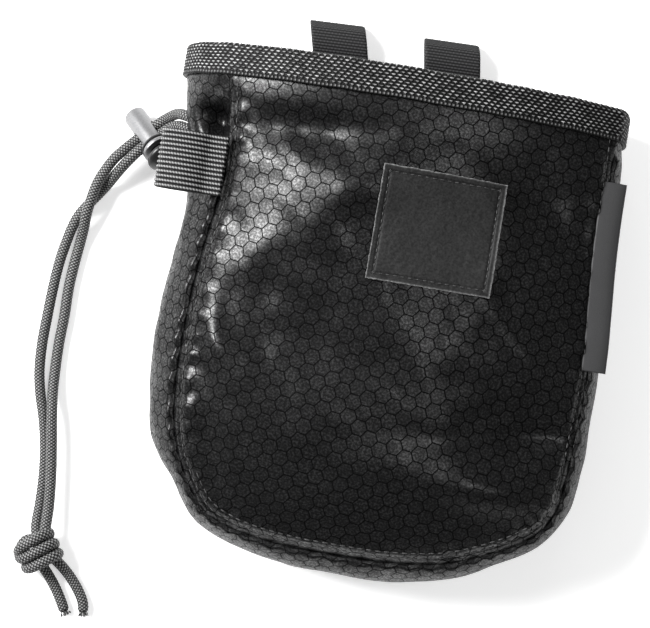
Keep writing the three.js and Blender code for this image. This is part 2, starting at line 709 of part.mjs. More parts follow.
const lockAxis = new THREE.Vector3(
  Math.cos(THREE.MathUtils.degToRad(lockAngle)) * Math.cos(THREE.MathUtils.degToRad(lockTilt)),
  Math.sin(THREE.MathUtils.degToRad(lockAngle)) * Math.cos(THREE.MathUtils.degToRad(lockTilt)),
  Math.sin(THREE.MathUtils.degToRad(lockTilt)),
);
const cordDirection = new THREE.Vector3(lockAxis.y, -lockAxis.x, 0).normalize(); // out of the lock
const strandPlaces = { a: firstCord, b: firstCord + cordSpacing };
const lockEnd = fromHole(lockPlace);

// A slot across the barrel's axis, with room for both strands; its length runs along the barrel.
function cordSlot(width, from, to) {
  const round = width / 2;
  const shape = new THREE.Shape();
  shape.moveTo(-round, from + round);
  shape.absarc(0, to - round, round, Math.PI, 0, true);
  shape.absarc(0, from + round, round, 0, -Math.PI, true);
  const depth = 2 * barrelDiameter;
  const slot = new THREE.ExtrudeGeometry(shape, { depth, bevelEnabled: false, curveSegments: 8 });
  return slot.translate(0, 0, -depth / 2);
}

// The lock is made along +Y with the cords along Z, then the group turns it.
function addLock() {
  const outer = barrelDiameter / 2;
  const flange = flangeDiameter / 2;
  const bore = outer - barrelWall;
  const stem = bore - fitGap;
  const firstClear = firstCord - cordRadius - fitGap;
  const lastClear = firstCord + cordSpacing + cordRadius + fitGap;
  const flangeStart = barrelLength - flangeThickness;
  const ringEnd = flangeStart - fitGap;
  const ringStart = ringEnd - ringThickness;
  const lock = new THREE.Group();
  const barrel = toManifold(lathePiece([
    [0, 0], [outer - barrelRound, 0], [outer, barrelRound], [outer, flangeStart],
    [flange - flangeRound, flangeStart], [flange, flangeStart + flangeRound],
    [flange, barrelLength - flangeRound], [flange - flangeRound, barrelLength],
    [bore, barrelLength], [bore, barrelFloor], [0, barrelFloor],
  ]));
  const barrelSlot = toManifold(cordSlot(cordDiameter + 2 * fitGap, firstClear, lastClear));
  addPiece('lock_barrel', fromManifold(barrel.subtract(barrelSlot)), metal, lock);
  addPiece('lock_ring', mergedOutward(lathePiece([
    [outer + fitGap, ringStart], [flange - flangeRound, ringStart], [flange, ringStart + flangeRound],
    [flange, ringEnd - flangeRound], [flange - flangeRound, ringEnd], [outer + fitGap, ringEnd],
    [outer + fitGap, ringStart],
  ])), plastic, lock);
  const headStart = barrelLength + plungerTravel + fitGap;
  const head = headDiameter / 2;
  const stemStart = barrelFloor + plungerTravel + fitGap;
  const plunger = toManifold(lathePiece([
    [0, stemStart], [stem, stemStart], [stem, headStart], [head - headRound, headStart],
    [head, headStart + headRound], [head, headStart + 0.4 * headThickness],
    [0.9 * head, headStart + 0.7 * headThickness], [0.6 * head, headStart + 0.95 * headThickness],
    [0, headStart + headThickness],
  ]));
  const pressedClear = lastClear + plungerTravel;
  const plungerSlot = toManifold(cordSlot(cordDiameter + 2 * fitGap, firstClear, pressedClear));
  addPiece('lock_plunger', fromManifold(plunger.subtract(plungerSlot)), plastic, lock);
  const side = lockAxis.clone().cross(cordDirection);
  lock.setRotationFromMatrix(new THREE.Matrix4().makeBasis(side, lockAxis, cordDirection));
  lock.position.copy(lockEnd);
  bag.add(lock);
}

// A cord along points: an eight-sided tube.
function cordTube(points, segments) {
  const curve = new THREE.CatmullRomCurve3(points, false, 'centripetal');
  const section = new THREE.Shape(Array.from({ length: 8 }, (_, corner) => {
    const angle = ((corner + 0.5) / 8) * 2 * Math.PI;
    return new THREE.Vector2(Math.cos(angle) * cordRadius, Math.sin(angle) * cordRadius);
  }));
  return new THREE.ExtrudeGeometry(section, { steps: segments, extrudePath: curve, bevelEnabled: false });
}

function addStrands() {
  const vectors = (list) => list.map(fromHole);
  Object.entries(strandRoutes).forEach(([name, route]) => {
    const middle = lockEnd.clone().addScaledVector(lockAxis, strandPlaces[name]);
    const through = [-lockRun, 0, lockRun].map((along) => (
      middle.clone().addScaledVector(cordDirection, along)
    ));
    const points = [...vectors(route.toHole).reverse(), ...through, ...vectors(route.toKnot)];
    addPiece(`drawcord_strand_${name}`, mergedOutward(cordTube(points, 52)), cordFinish);
    addPiece(`drawcord_tail_${name}`, mergedOutward(cordTube(vectors(tailRoutes[name]), 5)), cordFinish);
  });
}

// Overhand knot tied in both strands: a core and the turns that lie around it.
const knotTurns = [
  { tiltX: 62, tiltY: 18, wide: 0.60, shift: 0.05 },
  { tiltX: 58, tiltY: -38, wide: 0.62, shift: -0.02 },
  { tiltX: 18, tiltY: 12, wide: 0.64, shift: -0.05 },
];

const knotCore = 0.84; // share of the knot's size

function addKnot() {
  const { across, along, tall } = knotSize;
  const core = new THREE.SphereGeometry(knotCore / 2, 12, 8).scale(across, along, tall);
  const solid = knotTurns.reduce((sum, turn) => {
    const radius = (across * turn.wide) / 2;
    const loop = new THREE.TorusGeometry(radius, cordRadius * 1.25, 7, 18).scale(1, 0.8, 0.8);
    loop.rotateX(THREE.MathUtils.degToRad(turn.tiltX)).rotateY(THREE.MathUtils.degToRad(turn.tiltY));
    loop.translate(turn.shift * across, -turn.shift * along, 0);
    return sum.add(toManifold(loop));
  }, toManifold(core));
  const geometry = fromManifold(solid);
  geometry.translate(...fromHole(knotPlace).toArray());
  addPiece('drawcord_knot', geometry, cordFinish);
}

addPanels();
addGusset();
addBinding();
addHem();
addBeltLoops();
addBrushLoop();
addPatch();
addLabel();
addLock();
addStrands();
addKnot();

export default bag;
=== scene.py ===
import math
import bpy
import bmesh
import numpy as np
from mathutils import Matrix, Vector


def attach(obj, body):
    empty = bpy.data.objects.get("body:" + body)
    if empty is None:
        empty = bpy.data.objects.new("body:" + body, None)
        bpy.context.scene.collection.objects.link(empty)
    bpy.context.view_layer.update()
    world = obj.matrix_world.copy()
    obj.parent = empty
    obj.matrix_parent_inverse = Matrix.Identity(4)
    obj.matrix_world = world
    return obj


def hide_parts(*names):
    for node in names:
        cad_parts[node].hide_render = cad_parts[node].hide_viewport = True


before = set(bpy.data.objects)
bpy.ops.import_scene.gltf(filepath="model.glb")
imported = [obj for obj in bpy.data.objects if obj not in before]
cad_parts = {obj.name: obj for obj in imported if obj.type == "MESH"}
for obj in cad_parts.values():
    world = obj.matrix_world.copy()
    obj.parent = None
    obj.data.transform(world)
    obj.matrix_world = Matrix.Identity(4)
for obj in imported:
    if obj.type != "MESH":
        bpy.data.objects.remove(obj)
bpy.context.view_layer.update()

mm = 0.001

photoView = {
    "place": (-17.5, 2.5, 640.0),  # straight above the bag, in mm
    "turn": 9.5,  # degrees about the line of sight
    "lens": 97.74,
    "sensor": 36.0,
    "near": 0.01,  # metres
}
lamps = [  # place and target in mm, size in mm, power in watts
    {"name": "keyLight", "place": (-653, 193, 588), "target": (-20, 0, 30), "size": (300, 300),
     "power": 16.0},
    {"name": "topLight", "place": (293, 21, 956), "target": (0, 0, 30), "size": (420, 420), "power": 2.2},
    {"name": "backLight", "place": (-60, 900, 560), "target": (0, 0, 30), "size": (500, 240), "power": 1.6},
]
floorLook = {"half": 900.0, "colour": (0.92, 0.92, 0.92), "roughness": 0.9, "glow": 0.45}
skyLook = {"colour": (1.0, 1.0, 1.0), "strength": 0.24}


def aimAt(thing, target):
    thing.rotation_euler = (Vector(target) - thing.location).to_track_quat("-Z", "Y").to_euler()


def addObject(name, data):
    made = bpy.data.objects.new(name, data)
    bpy.context.scene.collection.objects.link(made)
    return made


def addCamera():
    data = bpy.data.cameras.new("photoCamera")
    data.lens = photoView["lens"]
    data.sensor_width = photoView["sensor"]
    data.clip_start = photoView["near"]
    camera = addObject("photoCamera", data)
    camera.location = Vector(photoView["place"]) * mm
    camera.rotation_euler = (0, 0, math.radians(photoView["turn"]))
    bpy.context.scene.camera = camera


def addLamps():
    for lamp in lamps:
        data = bpy.data.lights.new(lamp["name"], "AREA")
        data.shape = "RECTANGLE"
        data.size, data.size_y = (side * mm for side in lamp["size"])
        data.energy = lamp["power"]
        light = addObject(lamp["name"], data)
        light.location = Vector(lamp["place"]) * mm
        aimAt(light, Vector(lamp["target"]) * mm)
    world = bpy.data.worlds.new("studio")
    world.use_nodes = True
    sky = world.node_tree.nodes["Background"].inputs
    sky["Color"].default_value = (*skyLook["colour"], 1)
    sky["Strength"].default_value = skyLook["strength"]
    bpy.context.scene.world = world
    bpy.context.scene.view_settings.view_transform = "Standard"


# Sets sockets by name or number, each to a value or to a link from another socket.
def feed(tree, node, inputs):
    for name, value in inputs.items():
        if isinstance(value, bpy.types.NodeSocket):
            tree.links.new(value, node.inputs[name])
        else:
            node.inputs[name].default_value = value


def addNode(tree, kind, inputs=None, **settings):
    made = tree.nodes.new(kind)
    for name, value in settings.items():
        setattr(made, name, value)
    feed(tree, made, inputs or {})
    return made


def calc(tree, operation, *values, clamp=False):
    inputs = dict(enumerate(values))
    return addNode(tree, "ShaderNodeMath", inputs, operation=operation, use_clamp=clamp).outputs[0]


def vectorCalc(tree, operation, *values):
    made = addNode(tree, "ShaderNodeVectorMath", dict(enumerate(values)), operation=operation)
    return made.outputs["Value" if operation in ("DOT_PRODUCT", "LENGTH") else "Vector"]


def scaled(tree, vector, scale):
    inputs = {0: vector, "Scale": scale}
    return addNode(tree, "ShaderNodeVectorMath", inputs, operation="SCALE").outputs["Vector"]


def ramp(tree, value, low, high):
    inputs = {"Value": value, "From Min": low, "From Max": high}
    return addNode(tree, "ShaderNodeMapRange", inputs, interpolation_type="SMOOTHSTEP").outputs["Result"]


def mixColours(tree, share, *colours):
    inputs = {0: share}
    for socket, colour in zip((6, 7), colours):
        inputs[socket] = (*colour, 1) if isinstance(colour, tuple) else colour
    return addNode(tree, "ShaderNodeMix", inputs, data_type="RGBA").outputs[2]


def grey(level):
    return level, level, level


def newMaterial(name):
    made = bpy.data.materials.new(name)
    made.use_nodes = True
    return made, made.node_tree, made.node_tree.nodes["Principled BSDF"]


# A node group, with the sockets inside it that its inputs and outputs feed.
def newGroup(name, kind, inputs, outputs):
    tree = bpy.data.node_groups.new(name, kind)
    for way, sockets in (("INPUT", inputs), ("OUTPUT", outputs)):
        for socket, socketKind in sockets.items():
            tree.interface.new_socket(socket, in_out=way, socket_type=f"NodeSocket{socketKind}")
    return tree, tree.nodes.new("NodeGroupInput").outputs, tree.nodes.new("NodeGroupOutput").inputs


# Speckle of fine threads: one mask and one height for a place in mm.
def threadGrainGroup():
    tree, start, end = newGroup("threadGrain", "ShaderNodeTree",
                                {"Place": "Vector", "Grain": "Float", "Contrast": "Float"},
                                {"Mask": "Float", "Height": "Float"})
    scale = calc(tree, "DIVIDE", 1.0, start["Grain"])
    fine = addNode(tree, "ShaderNodeTexNoise", {"Vector": start["Place"], "Scale": scale, "Detail": 2.0,
                                                "Roughness": 0.6}).outputs["Fac"]
    half = calc(tree, "MULTIPLY", start["Contrast"], 0.5)
    mask = addNode(tree, "ShaderNodeMapRange", {"Value": fine, "From Min": calc(tree, "SUBTRACT", 0.5, half),
                                                "From Max": calc(tree, "ADD", 0.5, half)})
    broad = addNode(tree, "ShaderNodeTexNoise", {"Vector": start["Place"], "Detail": 1.0,
                                                 "Scale": calc(tree, "MULTIPLY", scale, 0.23)}).outputs["Fac"]
    tree.links.new(mask.outputs["Result"], end["Mask"])
    tree.links.new(calc(tree, "ADD", fine, calc(tree, "MULTIPLY", broad, 0.6)), end["Height"])
    return tree


# Honeycomb of fine sunken lines: the line's mask, a value for each cell and a height.
def honeycombGroup():
    tree, start, end = newGroup("honeycomb", "ShaderNodeTree",
                                {"Place": "Vector", "Cell": "Float", "Line": "Float"},
                                {"Line": "Float", "Cell": "Float", "Height": "Float"})
    step = (math.sqrt(3), 1.0, 1.0)
    halfStep = (math.sqrt(3) / 2, 0.5, 0.5)
    place = scaled(tree, start["Place"], calc(tree, "DIVIDE", 1.0, start["Cell"]))
    flat = vectorCalc(tree, "MULTIPLY", place, (1, 1, 0))
    wrap = vectorCalc(tree, "ADD", flat, (400 * math.sqrt(3), 400, 0))  # keeps the places above 0
    shifted = vectorCalc(tree, "SUBTRACT", wrap, halfStep)
    first, second = (
        vectorCalc(tree, "MULTIPLY", vectorCalc(
            tree, "SUBTRACT", vectorCalc(tree, "MODULO", origin, step), halfStep), (1, 1, 0))
        for origin in (wrap, shifted))
    nearer = calc(tree, "LESS_THAN", vectorCalc(tree, "LENGTH", first), vectorCalc(tree, "LENGTH", second))
    inside = addNode(tree, "ShaderNodeMix", {0: nearer, 4: second, 5: first}, data_type="VECTOR").outputs[1]
    sides = vectorCalc(tree, "ABSOLUTE", inside)
    slanted = vectorCalc(tree, "DOT_PRODUCT", sides, (math.sqrt(3) / 2, 0.5, 0))
    level = addNode(tree, "ShaderNodeSeparateXYZ", {"Vector": sides}).outputs["Y"]
    gap = calc(tree, "SUBTRACT", 0.5, calc(tree, "MAXIMUM", slanted, level))  # to the cell's edge, in cells
    width = calc(tree, "DIVIDE", start["Line"], calc(tree, "MULTIPLY", start["Cell"], 2.0))
    line = calc(tree, "SUBTRACT", 1.0, calc(tree, "DIVIDE", gap, width), clamp=True)
    middle = vectorCalc(tree, "ADD", vectorCalc(tree, "SUBTRACT", wrap, inside), (0.01, 0.01, 0))
    snapped = vectorCalc(tree, "SNAP", middle, (0.05, 0.05, 1))
    cell = addNode(tree, "ShaderNodeTexWhiteNoise", {"Vector": snapped}, noise_dimensions="3D")
    tree.links.new(line, end["Line"])
    tree.links.new(cell.outputs["Value"], end["Cell"])
    tree.links.new(ramp(tree, gap, 0.0, calc(tree, "MULTIPLY", width, 2.4)), end["Height"])
    return tree


def addGroup(tree, group, inputs):
    return addNode(tree, "ShaderNodeGroup", inputs, node_tree=group).outputs


# Thread grain in the piece's own place, with a grain in mm.
def pieceGrain(tree, grain, contrast):
    place = scaled(tree, addNode(tree, "ShaderNodeTexCoord").outputs["Object"], 1 / mm)
    return addGroup(tree, threadGrain, {"Place": place, "Grain": grain, "Contrast": contrast})


def addBump(tree, shader, height, strength, relief):
    bump = addNode(tree, "ShaderNodeBump", {"Height": height, "Strength": strength, "Distance": relief * mm})
    tree.links.new(bump.outputs["Normal"], shader.inputs["Normal"])


def liftOf(tree):
    return addNode(tree, "ShaderNodeAttribute", attribute_name="lift").outputs["Fac"]


ripstopLook = {
    "cell": 5.1, "line": 0.62, "turn": -8.0,  # mm, mm, degrees
    "grain": 0.78, "contrast": 0.24,
    "thread": (0.0015, 0.0015, 0.0016), "shine": (0.008, 0.008, 0.0084), "gap": (0.0004, 0.0004, 0.0004),
    "roughness": 0.62, "specular": 0.04, "coatLow": 0.30, "coatHigh": 0.95, "coatRoughness": 0.34,
    "strength": 0.9, "relief": 0.07,
}


def ripstopMaterial():
    look = ripstopLook
    made, tree, shader = newMaterial("ripstopCloth")
    spread = addNode(tree, "ShaderNodeUVMap", uv_map="cloth").outputs["UV"]
    place = addNode(tree, "ShaderNodeMapping", {
        "Vector": spread, "Rotation": (0, 0, math.radians(-look["turn"])),
        "Scale": (100, 100, 100)}).outputs["Vector"]
    comb = addGroup(tree, honeycomb, {"Place": place, "Cell": look["cell"], "Line": look["line"]})
    grain = addGroup(tree, threadGrain,
                     {"Place": place, "Grain": look["grain"], "Contrast": look["contrast"]})
    cells = calc(tree, "ADD", calc(tree, "MULTIPLY", comb["Cell"], 0.35), 0.75)
    speckle = calc(tree, "MULTIPLY", calc(tree, "MULTIPLY", grain["Mask"], grain["Mask"]), cells)
    cloth = mixColours(tree, speckle, look["thread"], look["shine"])
    shine = calc(tree, "MULTIPLY", speckle, look["coatHigh"] - look["coatLow"])
    clear = calc(tree, "SUBTRACT", 1.0, calc(tree, "MULTIPLY", comb["Line"], 1.6, clamp=True))
    feed(tree, shader, {
        "Base Color": mixColours(tree, comb["Line"], cloth, look["gap"]),
        "Roughness": look["roughness"], "Specular IOR Level": look["specular"],
        "Coat Weight": calc(tree, "MULTIPLY", calc(tree, "ADD", look["coatLow"], shine), clear),
        "Coat Roughness": look["coatRoughness"]})
    height = calc(tree, "ADD", calc(tree, "MULTIPLY", comb["Height"], 0.35), grain["Height"])
    addBump(tree, shader, height, look["strength"], look["relief"])
    return made


# Colours by each place's lift: the gap colour is painted shade in the gaps between threads, then the threads'
# own colour, and the last colour is a painted highlight on their raised tips.
def wovenMaterial(name, gap, thread, paintedHighlight, roughness, grainSize):
    made, tree, shader = newMaterial(name)
    lift = liftOf(tree)
    grain = pieceGrain(tree, grainSize, 0.35)
    # Painted shade: low places take the gap colour. Painted highlight: high places take the last colour,
    # speckled by the grain.
    threadOverShade = ramp(tree, lift, 0.08, 0.72)
    highlightShare = calc(tree, "MULTIPLY", ramp(tree, lift, 0.5, 1.0),
                  calc(tree, "ADD", 0.45, calc(tree, "MULTIPLY", grain["Mask"], 0.55)))
    feed(tree, shader, {"Base Color": mixColours(tree, highlightShare, mixColours(tree, threadOverShade, gap, thread), paintedHighlight),
                        "Roughness": roughness, "Specular IOR Level": 0.2})
    addBump(tree, shader, grain["Height"], 0.6, 0.08)
    return made


def labelMaterial(name, dark, light, roughness, grainSize, relief):
    made, tree, shader = newMaterial(name)
    grain = pieceGrain(tree, grainSize, 0.3)
    body = mixColours(tree, calc(tree, "MULTIPLY", grain["Mask"], 0.8), dark, light)
    # The lift mixes in light grey: a painted highlight, which on the patch lies along its raised edges.
    feed(tree, shader, {"Base Color": mixColours(tree, liftOf(tree), body, (0.30, 0.30, 0.30)),
                        "Roughness": roughness, "Specular IOR Level": 0.3})
    addBump(tree, shader, grain["Height"], 0.7, relief)
    return made


# A hard material: two colours and a span of roughness over a grain.
def hardMaterial(name, grainSize, contrast, dark, light, roughness, spread, metallic):
    made, tree, shader = newMaterial(name)
    mask = pieceGrain(tree, grainSize, contrast)["Mask"]
    feed(tree, shader, {"Base Color": mixColours(tree, mask, dark, light), "Metallic": metallic,
                        "Roughness": calc(tree, "ADD", roughness, calc(tree, "MULTIPLY", mask, spread))})
    return made


def floorMaterial():
    made, tree, shader = newMaterial("paleFloor")
    feed(tree, shader, {"Base Color": (*floorLook["colour"], 1), "Roughness": floorLook["roughness"],
                        "Emission Color": (1, 1, 1, 1), "Emission Strength": floorLook["glow"]})
    return made


def gridCorners(rows, columns, closeRows=False, closeColumns=False):
    row = np.arange(rows if closeRows else rows - 1)[:, None]
    column = np.arange(columns if closeColumns else columns - 1)[None, :]
    corners = [(row + down, column + over) for down, over in ((0, 0), (0, 1), (1, 1), (1, 0))]
    return [tuple(np.broadcast_arrays(*corner)) for corner in corners]


def gridFaces(rows, columns, closeRows=False, closeColumns=False, start=0):
    corners = gridCorners(rows, columns, closeRows, closeColumns)
    faces = [start + (down % rows) * columns + over % columns for down, over in corners]
    return np.stack(faces, -1).reshape(-1, 4)


# The flat places of a closed ring's corners.
def ringCorners(spread, rows, columns):
    corners = gridCorners(rows, columns, True, True)
    return np.stack([spread[down, over] for down, over in corners], -2).reshape(-1, 4, 2)


def signedVolume(points, faces):
    first, second, third, fourth = (points[faces[:, corner]] for corner in range(4))
    return (np.einsum("ij,ij->i", first, np.cross(second, third)).sum()
            + np.einsum("ij,ij->i", first, np.cross(third, fourth)).sum())


# Points in mm. Faces have four corners, and a triangle repeats its last one. The spread is a flat place for
# each corner, and the lift a value for each point.
def makePiece(name, points, faces, material, spread=None, lift=None):
    if signedVolume(points, faces) < 0:
        faces = faces[:, ::-1]
        spread = None if spread is None else spread[:, ::-1]
    mesh = bpy.data.meshes.new(name)
    triangles = faces[:, 2] == faces[:, 3]
    lists = [list(face[:3]) if flat else list(face) for face, flat in zip(faces.tolist(), triangles.tolist())]
    mesh.from_pydata((points * mm).tolist(), [], lists)
    if spread is not None:
        layer = mesh.uv_layers.new(name="cloth")
        flatCorners = [corner for face, flat in zip(spread.tolist(), triangles.tolist())
                       for corner in (face[:3] if flat else face)]
        layer.uv.foreach_set("vector", np.array(flatCorners, np.float32).ravel() / 100)
    # The lift is a height that the woven and patch materials turn into painted shade in hollows and painted
    # highlight on tops.
    if lift is not None:
        layer = mesh.attributes.new("lift", "FLOAT", "POINT")
        layer.data.foreach_set("value", np.asarray(lift, np.float32).ravel())
    mesh.materials.append(material)
    shadeSmooth(mesh)
    mesh.validate()
    mesh.update()
    return addObject(name, mesh)


def shadeSmooth(mesh):
    mesh.polygons.foreach_set("use_smooth", np.full(len(mesh.polygons), True))


def unit(vectors):
    return vectors / np.maximum(np.linalg.norm(vectors, axis=-1, keepdims=True), 1e-9)


def gridNormals(points):
    down = np.gradient(points, axis=0)
    over = np.gradient(points, axis=1)
    return unit(np.cross(down, over))


# A sheet with thickness from its outer and inner grids.
def makeShell(name, outer, inner, material, spread=None, lift=None, innerLift=None):
    rows, columns = outer.shape[:2]
    count = rows * columns
    points = np.concatenate([outer.reshape(-1, 3), inner.reshape(-1, 3)])
    front = gridFaces(rows, columns)
    back = gridFaces(rows, columns, start=count)[:, ::-1]
    border = np.concatenate([
        np.arange(columns - 1), np.arange(rows - 1) * columns + columns - 1,
        (rows - 1) * columns + np.arange(columns - 1, 0, -1), np.arange(rows - 1, 0, -1) * columns])
    following = np.roll(border, -1)
    edges = np.stack([following, border, border + count, following + count], -1)
    faces = np.concatenate([front, back, edges])
    corners = None
    if spread is not None:
        flat = spread.reshape(-1, 2)
        corners = flat[faces % count]
    if lift is not None:
        lift = np.concatenate([lift.ravel(), np.zeros(count) if innerLift is None else innerLift.ravel()])
    return makePiece(name, points, faces, material, corners, lift)


def makeRing(name, points, material, spread=None, lift=None):
    rows, columns = points.shape[:2]
    faces = gridFaces(rows, columns, True, True)
    corners = None if spread is None else ringCorners(spread, rows, columns)
    return makePiece(name, points.reshape(-1, 3), faces, material, corners, lift)


# A closed tube: rings of points, with a cap at both ends.
def makeTube(name, rings, material, lift=None, caps=None):
    rows, columns = rings.shape[:2]
    ends = caps if caps is not None else (rings[0].mean(0), rings[-1].mean(0))
    points = np.concatenate([rings.reshape(-1, 3), np.array(ends)])
    column = np.arange(columns)
    over = (column + 1) % columns
    base = (rows - 1) * columns
    tips = [np.full(columns, rows * columns + end) for end in (0, 1)]
    first = np.stack([over, column, tips[0], tips[0]], -1)
    last = np.stack([base + column, base + over, tips[1], tips[1]], -1)
    faces = np.concatenate([gridFaces(rows, columns, False, True), first, last])
    if lift is not None:
        lift = np.concatenate([lift.ravel(), [0.3, 0.3]])
    return makePiece(name, points, faces, material, lift=lift)


def centripetal(points, perStretch=30):
    points = np.asarray(points, float)
    ghost = np.vstack([2 * points[0] - points[1], points, 2 * points[-1] - points[-2]])
    result = []
    for place in range(len(points) - 1):
        p0, p1, p2, p3 = ghost[place:place + 4]
        t1 = max(np.linalg.norm(p1 - p0) ** 0.5, 1e-4)
        t2 = t1 + max(np.linalg.norm(p2 - p1) ** 0.5, 1e-4)
        t3 = t2 + max(np.linalg.norm(p3 - p2) ** 0.5, 1e-4)
        t = np.linspace(t1, t2, perStretch, endpoint=False)[:, None]
        a1 = (t1 - t) / t1 * p0 + t / t1 * p1
        a2 = (t2 - t) / (t2 - t1) * p1 + (t - t1) / (t2 - t1) * p2
        a3 = (t3 - t) / (t3 - t2) * p2 + (t - t2) / (t3 - t2) * p3
        b1 = (t2 - t) / t2 * a1 + t / t2 * a2
        b2 = (t3 - t) / (t3 - t1) * a2 + (t - t1) / (t3 - t1) * a3
        result.append((t2 - t) / (t2 - t1) * b1 + (t - t1) / (t2 - t1) * b2)
    result.append(points[-1:])
    return np.vstack(result)


def arcLength(line):
    return np.concatenate([[0], np.cumsum(np.linalg.norm(np.diff(line, axis=0), axis=1))])


def evenly(line, spacing):
    along = arcLength(line)
    count = max(int(round(along[-1] / spacing)), 2)
    target = np.linspace(0, along[-1], count + 1)
    return np.stack([np.interp(target, along, line[:, axis]) for axis in range(line.shape[1])], -1)


def frames(line):
    tangent = unit(np.gradient(line, axis=0))
    normal = np.zeros_like(line)
    now = np.array([0.0, 0.0, 1.0])
    for place, direction in enumerate(tangent):
        now = now - direction * now.dot(direction)
        now /= np.linalg.norm(now)
        normal[place] = now
    return tangent, normal, np.cross(tangent, normal)


cordFacts = {
    "diameter": 4.0,
    "firstCord": 9.8, "spacing": 4.3,  # the strands' places along the lock
    "lockEnd": (-97.1, 61.9, 4.1), "lockAngle": -44.5, "lockTilt": 30.0,
    "plaits": 14, "plaitLength": 2.3, "plaitRise": 0.26,
    "ringSpacing": 0.29, "around": 46, "pathStep": 6,
    "braidIn": 0.14, "endTaper": 1.2, "endWidth": 0.35, "floorGap": 0.06,
}
strandRoutes = {
    "a": {
        "toHole": [(-84.2, 62.4, 9.8), (-80.9, 63.9, 13.4), (-77.4, 63.4, 18.2), (-74.9, 62.7, 20.0)],
        "toKnot": [(-97.7, 48.9, 9.2), (-100.9, 45.0, 8.9), (-103.7, 40.1, 8.2), (-105.8, 35.1, 7.4),
                   (-107.1, 29.2, 6.7), (-108.0, 23.8, 5.6), (-108.4, 18.7, 3.7), (-109.1, 12.8, 2.2),
                   (-109.8, 6.0, 2.1), (-110.4, -3.3, 2.1), (-110.3, -14.0, 2.1), (-110.6, -24.0, 2.1),
                   (-110.3, -34.2, 2.4), (-109.6, -42.1, 3.8), (-108.2, -50.3, 5.7), (-106.5, -60.6, 6.2),
                   (-104.9, -71.8, 6.2), (-103.9, -82.0, 6.5), (-103.6, -90.6, 7.2)],
        "tail": [(-102.2, -104.4, 4.8), (-98.5, -109.4, 2.6), (-95.7, -113.6, 2.1), (-92.5, -119.2, 2.1)],
    },
    "b": {
        "toHole": [(-82.3, 59.0, 11.9), (-79.2, 59.7, 14.4), (-76.6, 59.2, 16.6), (-74.9, 58.9, 17.6)],
        "toKnot": [(-95.0, 46.0, 10.6), (-98.4, 41.5, 8.2), (-101.8, 36.6, 4.9), (-105.1, 32.0, 2.6),
                   (-108.4, 27.5, 2.1), (-111.2, 22.9, 2.1), (-112.9, 17.9, 2.1), (-114.2, 11.9, 2.1),
                   (-115.3, 5.0, 2.1), (-116.0, -4.2, 2.1), (-116.4, -14.9, 2.1), (-116.6, -25.0, 2.1),
                   (-115.9, -35.0, 2.1), (-114.2, -43.0, 2.1), (-111.7, -51.1, 2.1), (-109.4, -61.4, 2.1),
                   (-108.1, -72.7, 2.1), (-107.8, -82.0, 2.2), (-107.6, -90.4, 3.4)],
        "tail": [(-97.2, -101.6, 5.2), (-93.6, -105.2, 3.0), (-89.2, -110.5, 2.1), (-86.6, -115.0, 2.1),
                 (-86.0, -118.4, 2.1)],
    },
}
# Turns of the overhand knot, in mm: along the visible turns, across them and towards the viewer.
knotPlace = {"centre": (-105.2, -98.4, 6.6), "turn": 36.5}
knotTurns = {
    "a": [(3.6, 1.2, -0.2), (1.4, -2.6, -1.6), (3.2, -3.8, -3.2), (6.0, -4.2, -1.4), (5.0, -4.2, 2.4),
          (0.2, -4.2, 4.1), (-4.6, -4.1, 2.6), (-6.3, -3.3, -0.2), (-4.4, -1.6, -3.2), (0.0, 0.4, -4.1),
          (4.6, 2.6, -2.8), (6.6, 3.8, 0.1), (4.8, 4.3, 2.9), (0.2, 4.2, 4.3), (-4.4, 3.8, 2.9),
          (-6.2, 2.4, -0.2), (-3.8, 0.2, -2.4), (-1.6, -3.0, -1.6)],
    "b": [(1.4, 3.8, -2.4), (0.6, 0.6, -1.8), (2.8, -1.6, -2.8), (5.9, -0.8, -1.6), (6.4, -0.1, 0.8),
          (4.4, 0.1, 3.3), (0.1, 0.0, 4.4), (-4.6, 0.0, 3.1), (-6.6, 0.8, 0.4), (-5.6, 3.6, -2.2),
          (-2.2, 5.2, -2.8), (1.6, 2.6, -1.2), (3.0, -3.0, -1.2)],
}


def lockDirections():
    angle, tilt = math.radians(cordFacts["lockAngle"]), math.radians(cordFacts["lockTilt"])
    axis = np.array([math.cos(angle) * math.cos(tilt), math.sin(angle) * math.cos(tilt), math.sin(tilt)])
    out = unit(np.array([axis[1], -axis[0], 0.0]))
    return axis, out


def turnFlat(angle):
    cos, sin = math.cos(angle), math.sin(angle)
    return np.array([[cos, sin, 0], [-sin, cos, 0], [0, 0, 1]])


def cordLine(name):
    axis, out = lockDirections()
    route = strandRoutes[name]
    along = cordFacts["firstCord"] + (cordFacts["spacing"] if name == "b" else 0)
    middle = np.array(cordFacts["lockEnd"]) + axis * along
    through = [middle + out * step for step in (-5, 0, 5)]
    turn = turnFlat(math.radians(knotPlace["turn"]))
    turns = np.array(knotTurns[name]) @ turn + np.array(knotPlace["centre"])
    points = np.vstack([route["toHole"][::-1], through, route["toKnot"], turns, route["tail"]])
    return evenly(centripetal(points), cordFacts["ringSpacing"])


# Braid: pillows of two crossing families, in a two over two order.
def braidHeight(along, around):
    step = along / cordFacts["plaitLength"] * 2
    turn = around * cordFacts["plaits"] / (4 * math.pi)
    first, second = step + turn, step - turn
    over = ((np.floor(first) + np.floor(second)) % 2) < 1
    wide, long = np.where(over, first % 1, second % 1), np.where(over, second % 1, first % 1)
    return np.sin(math.pi * wide) ** 0.6 * np.sin(math.pi * long) ** 0.35


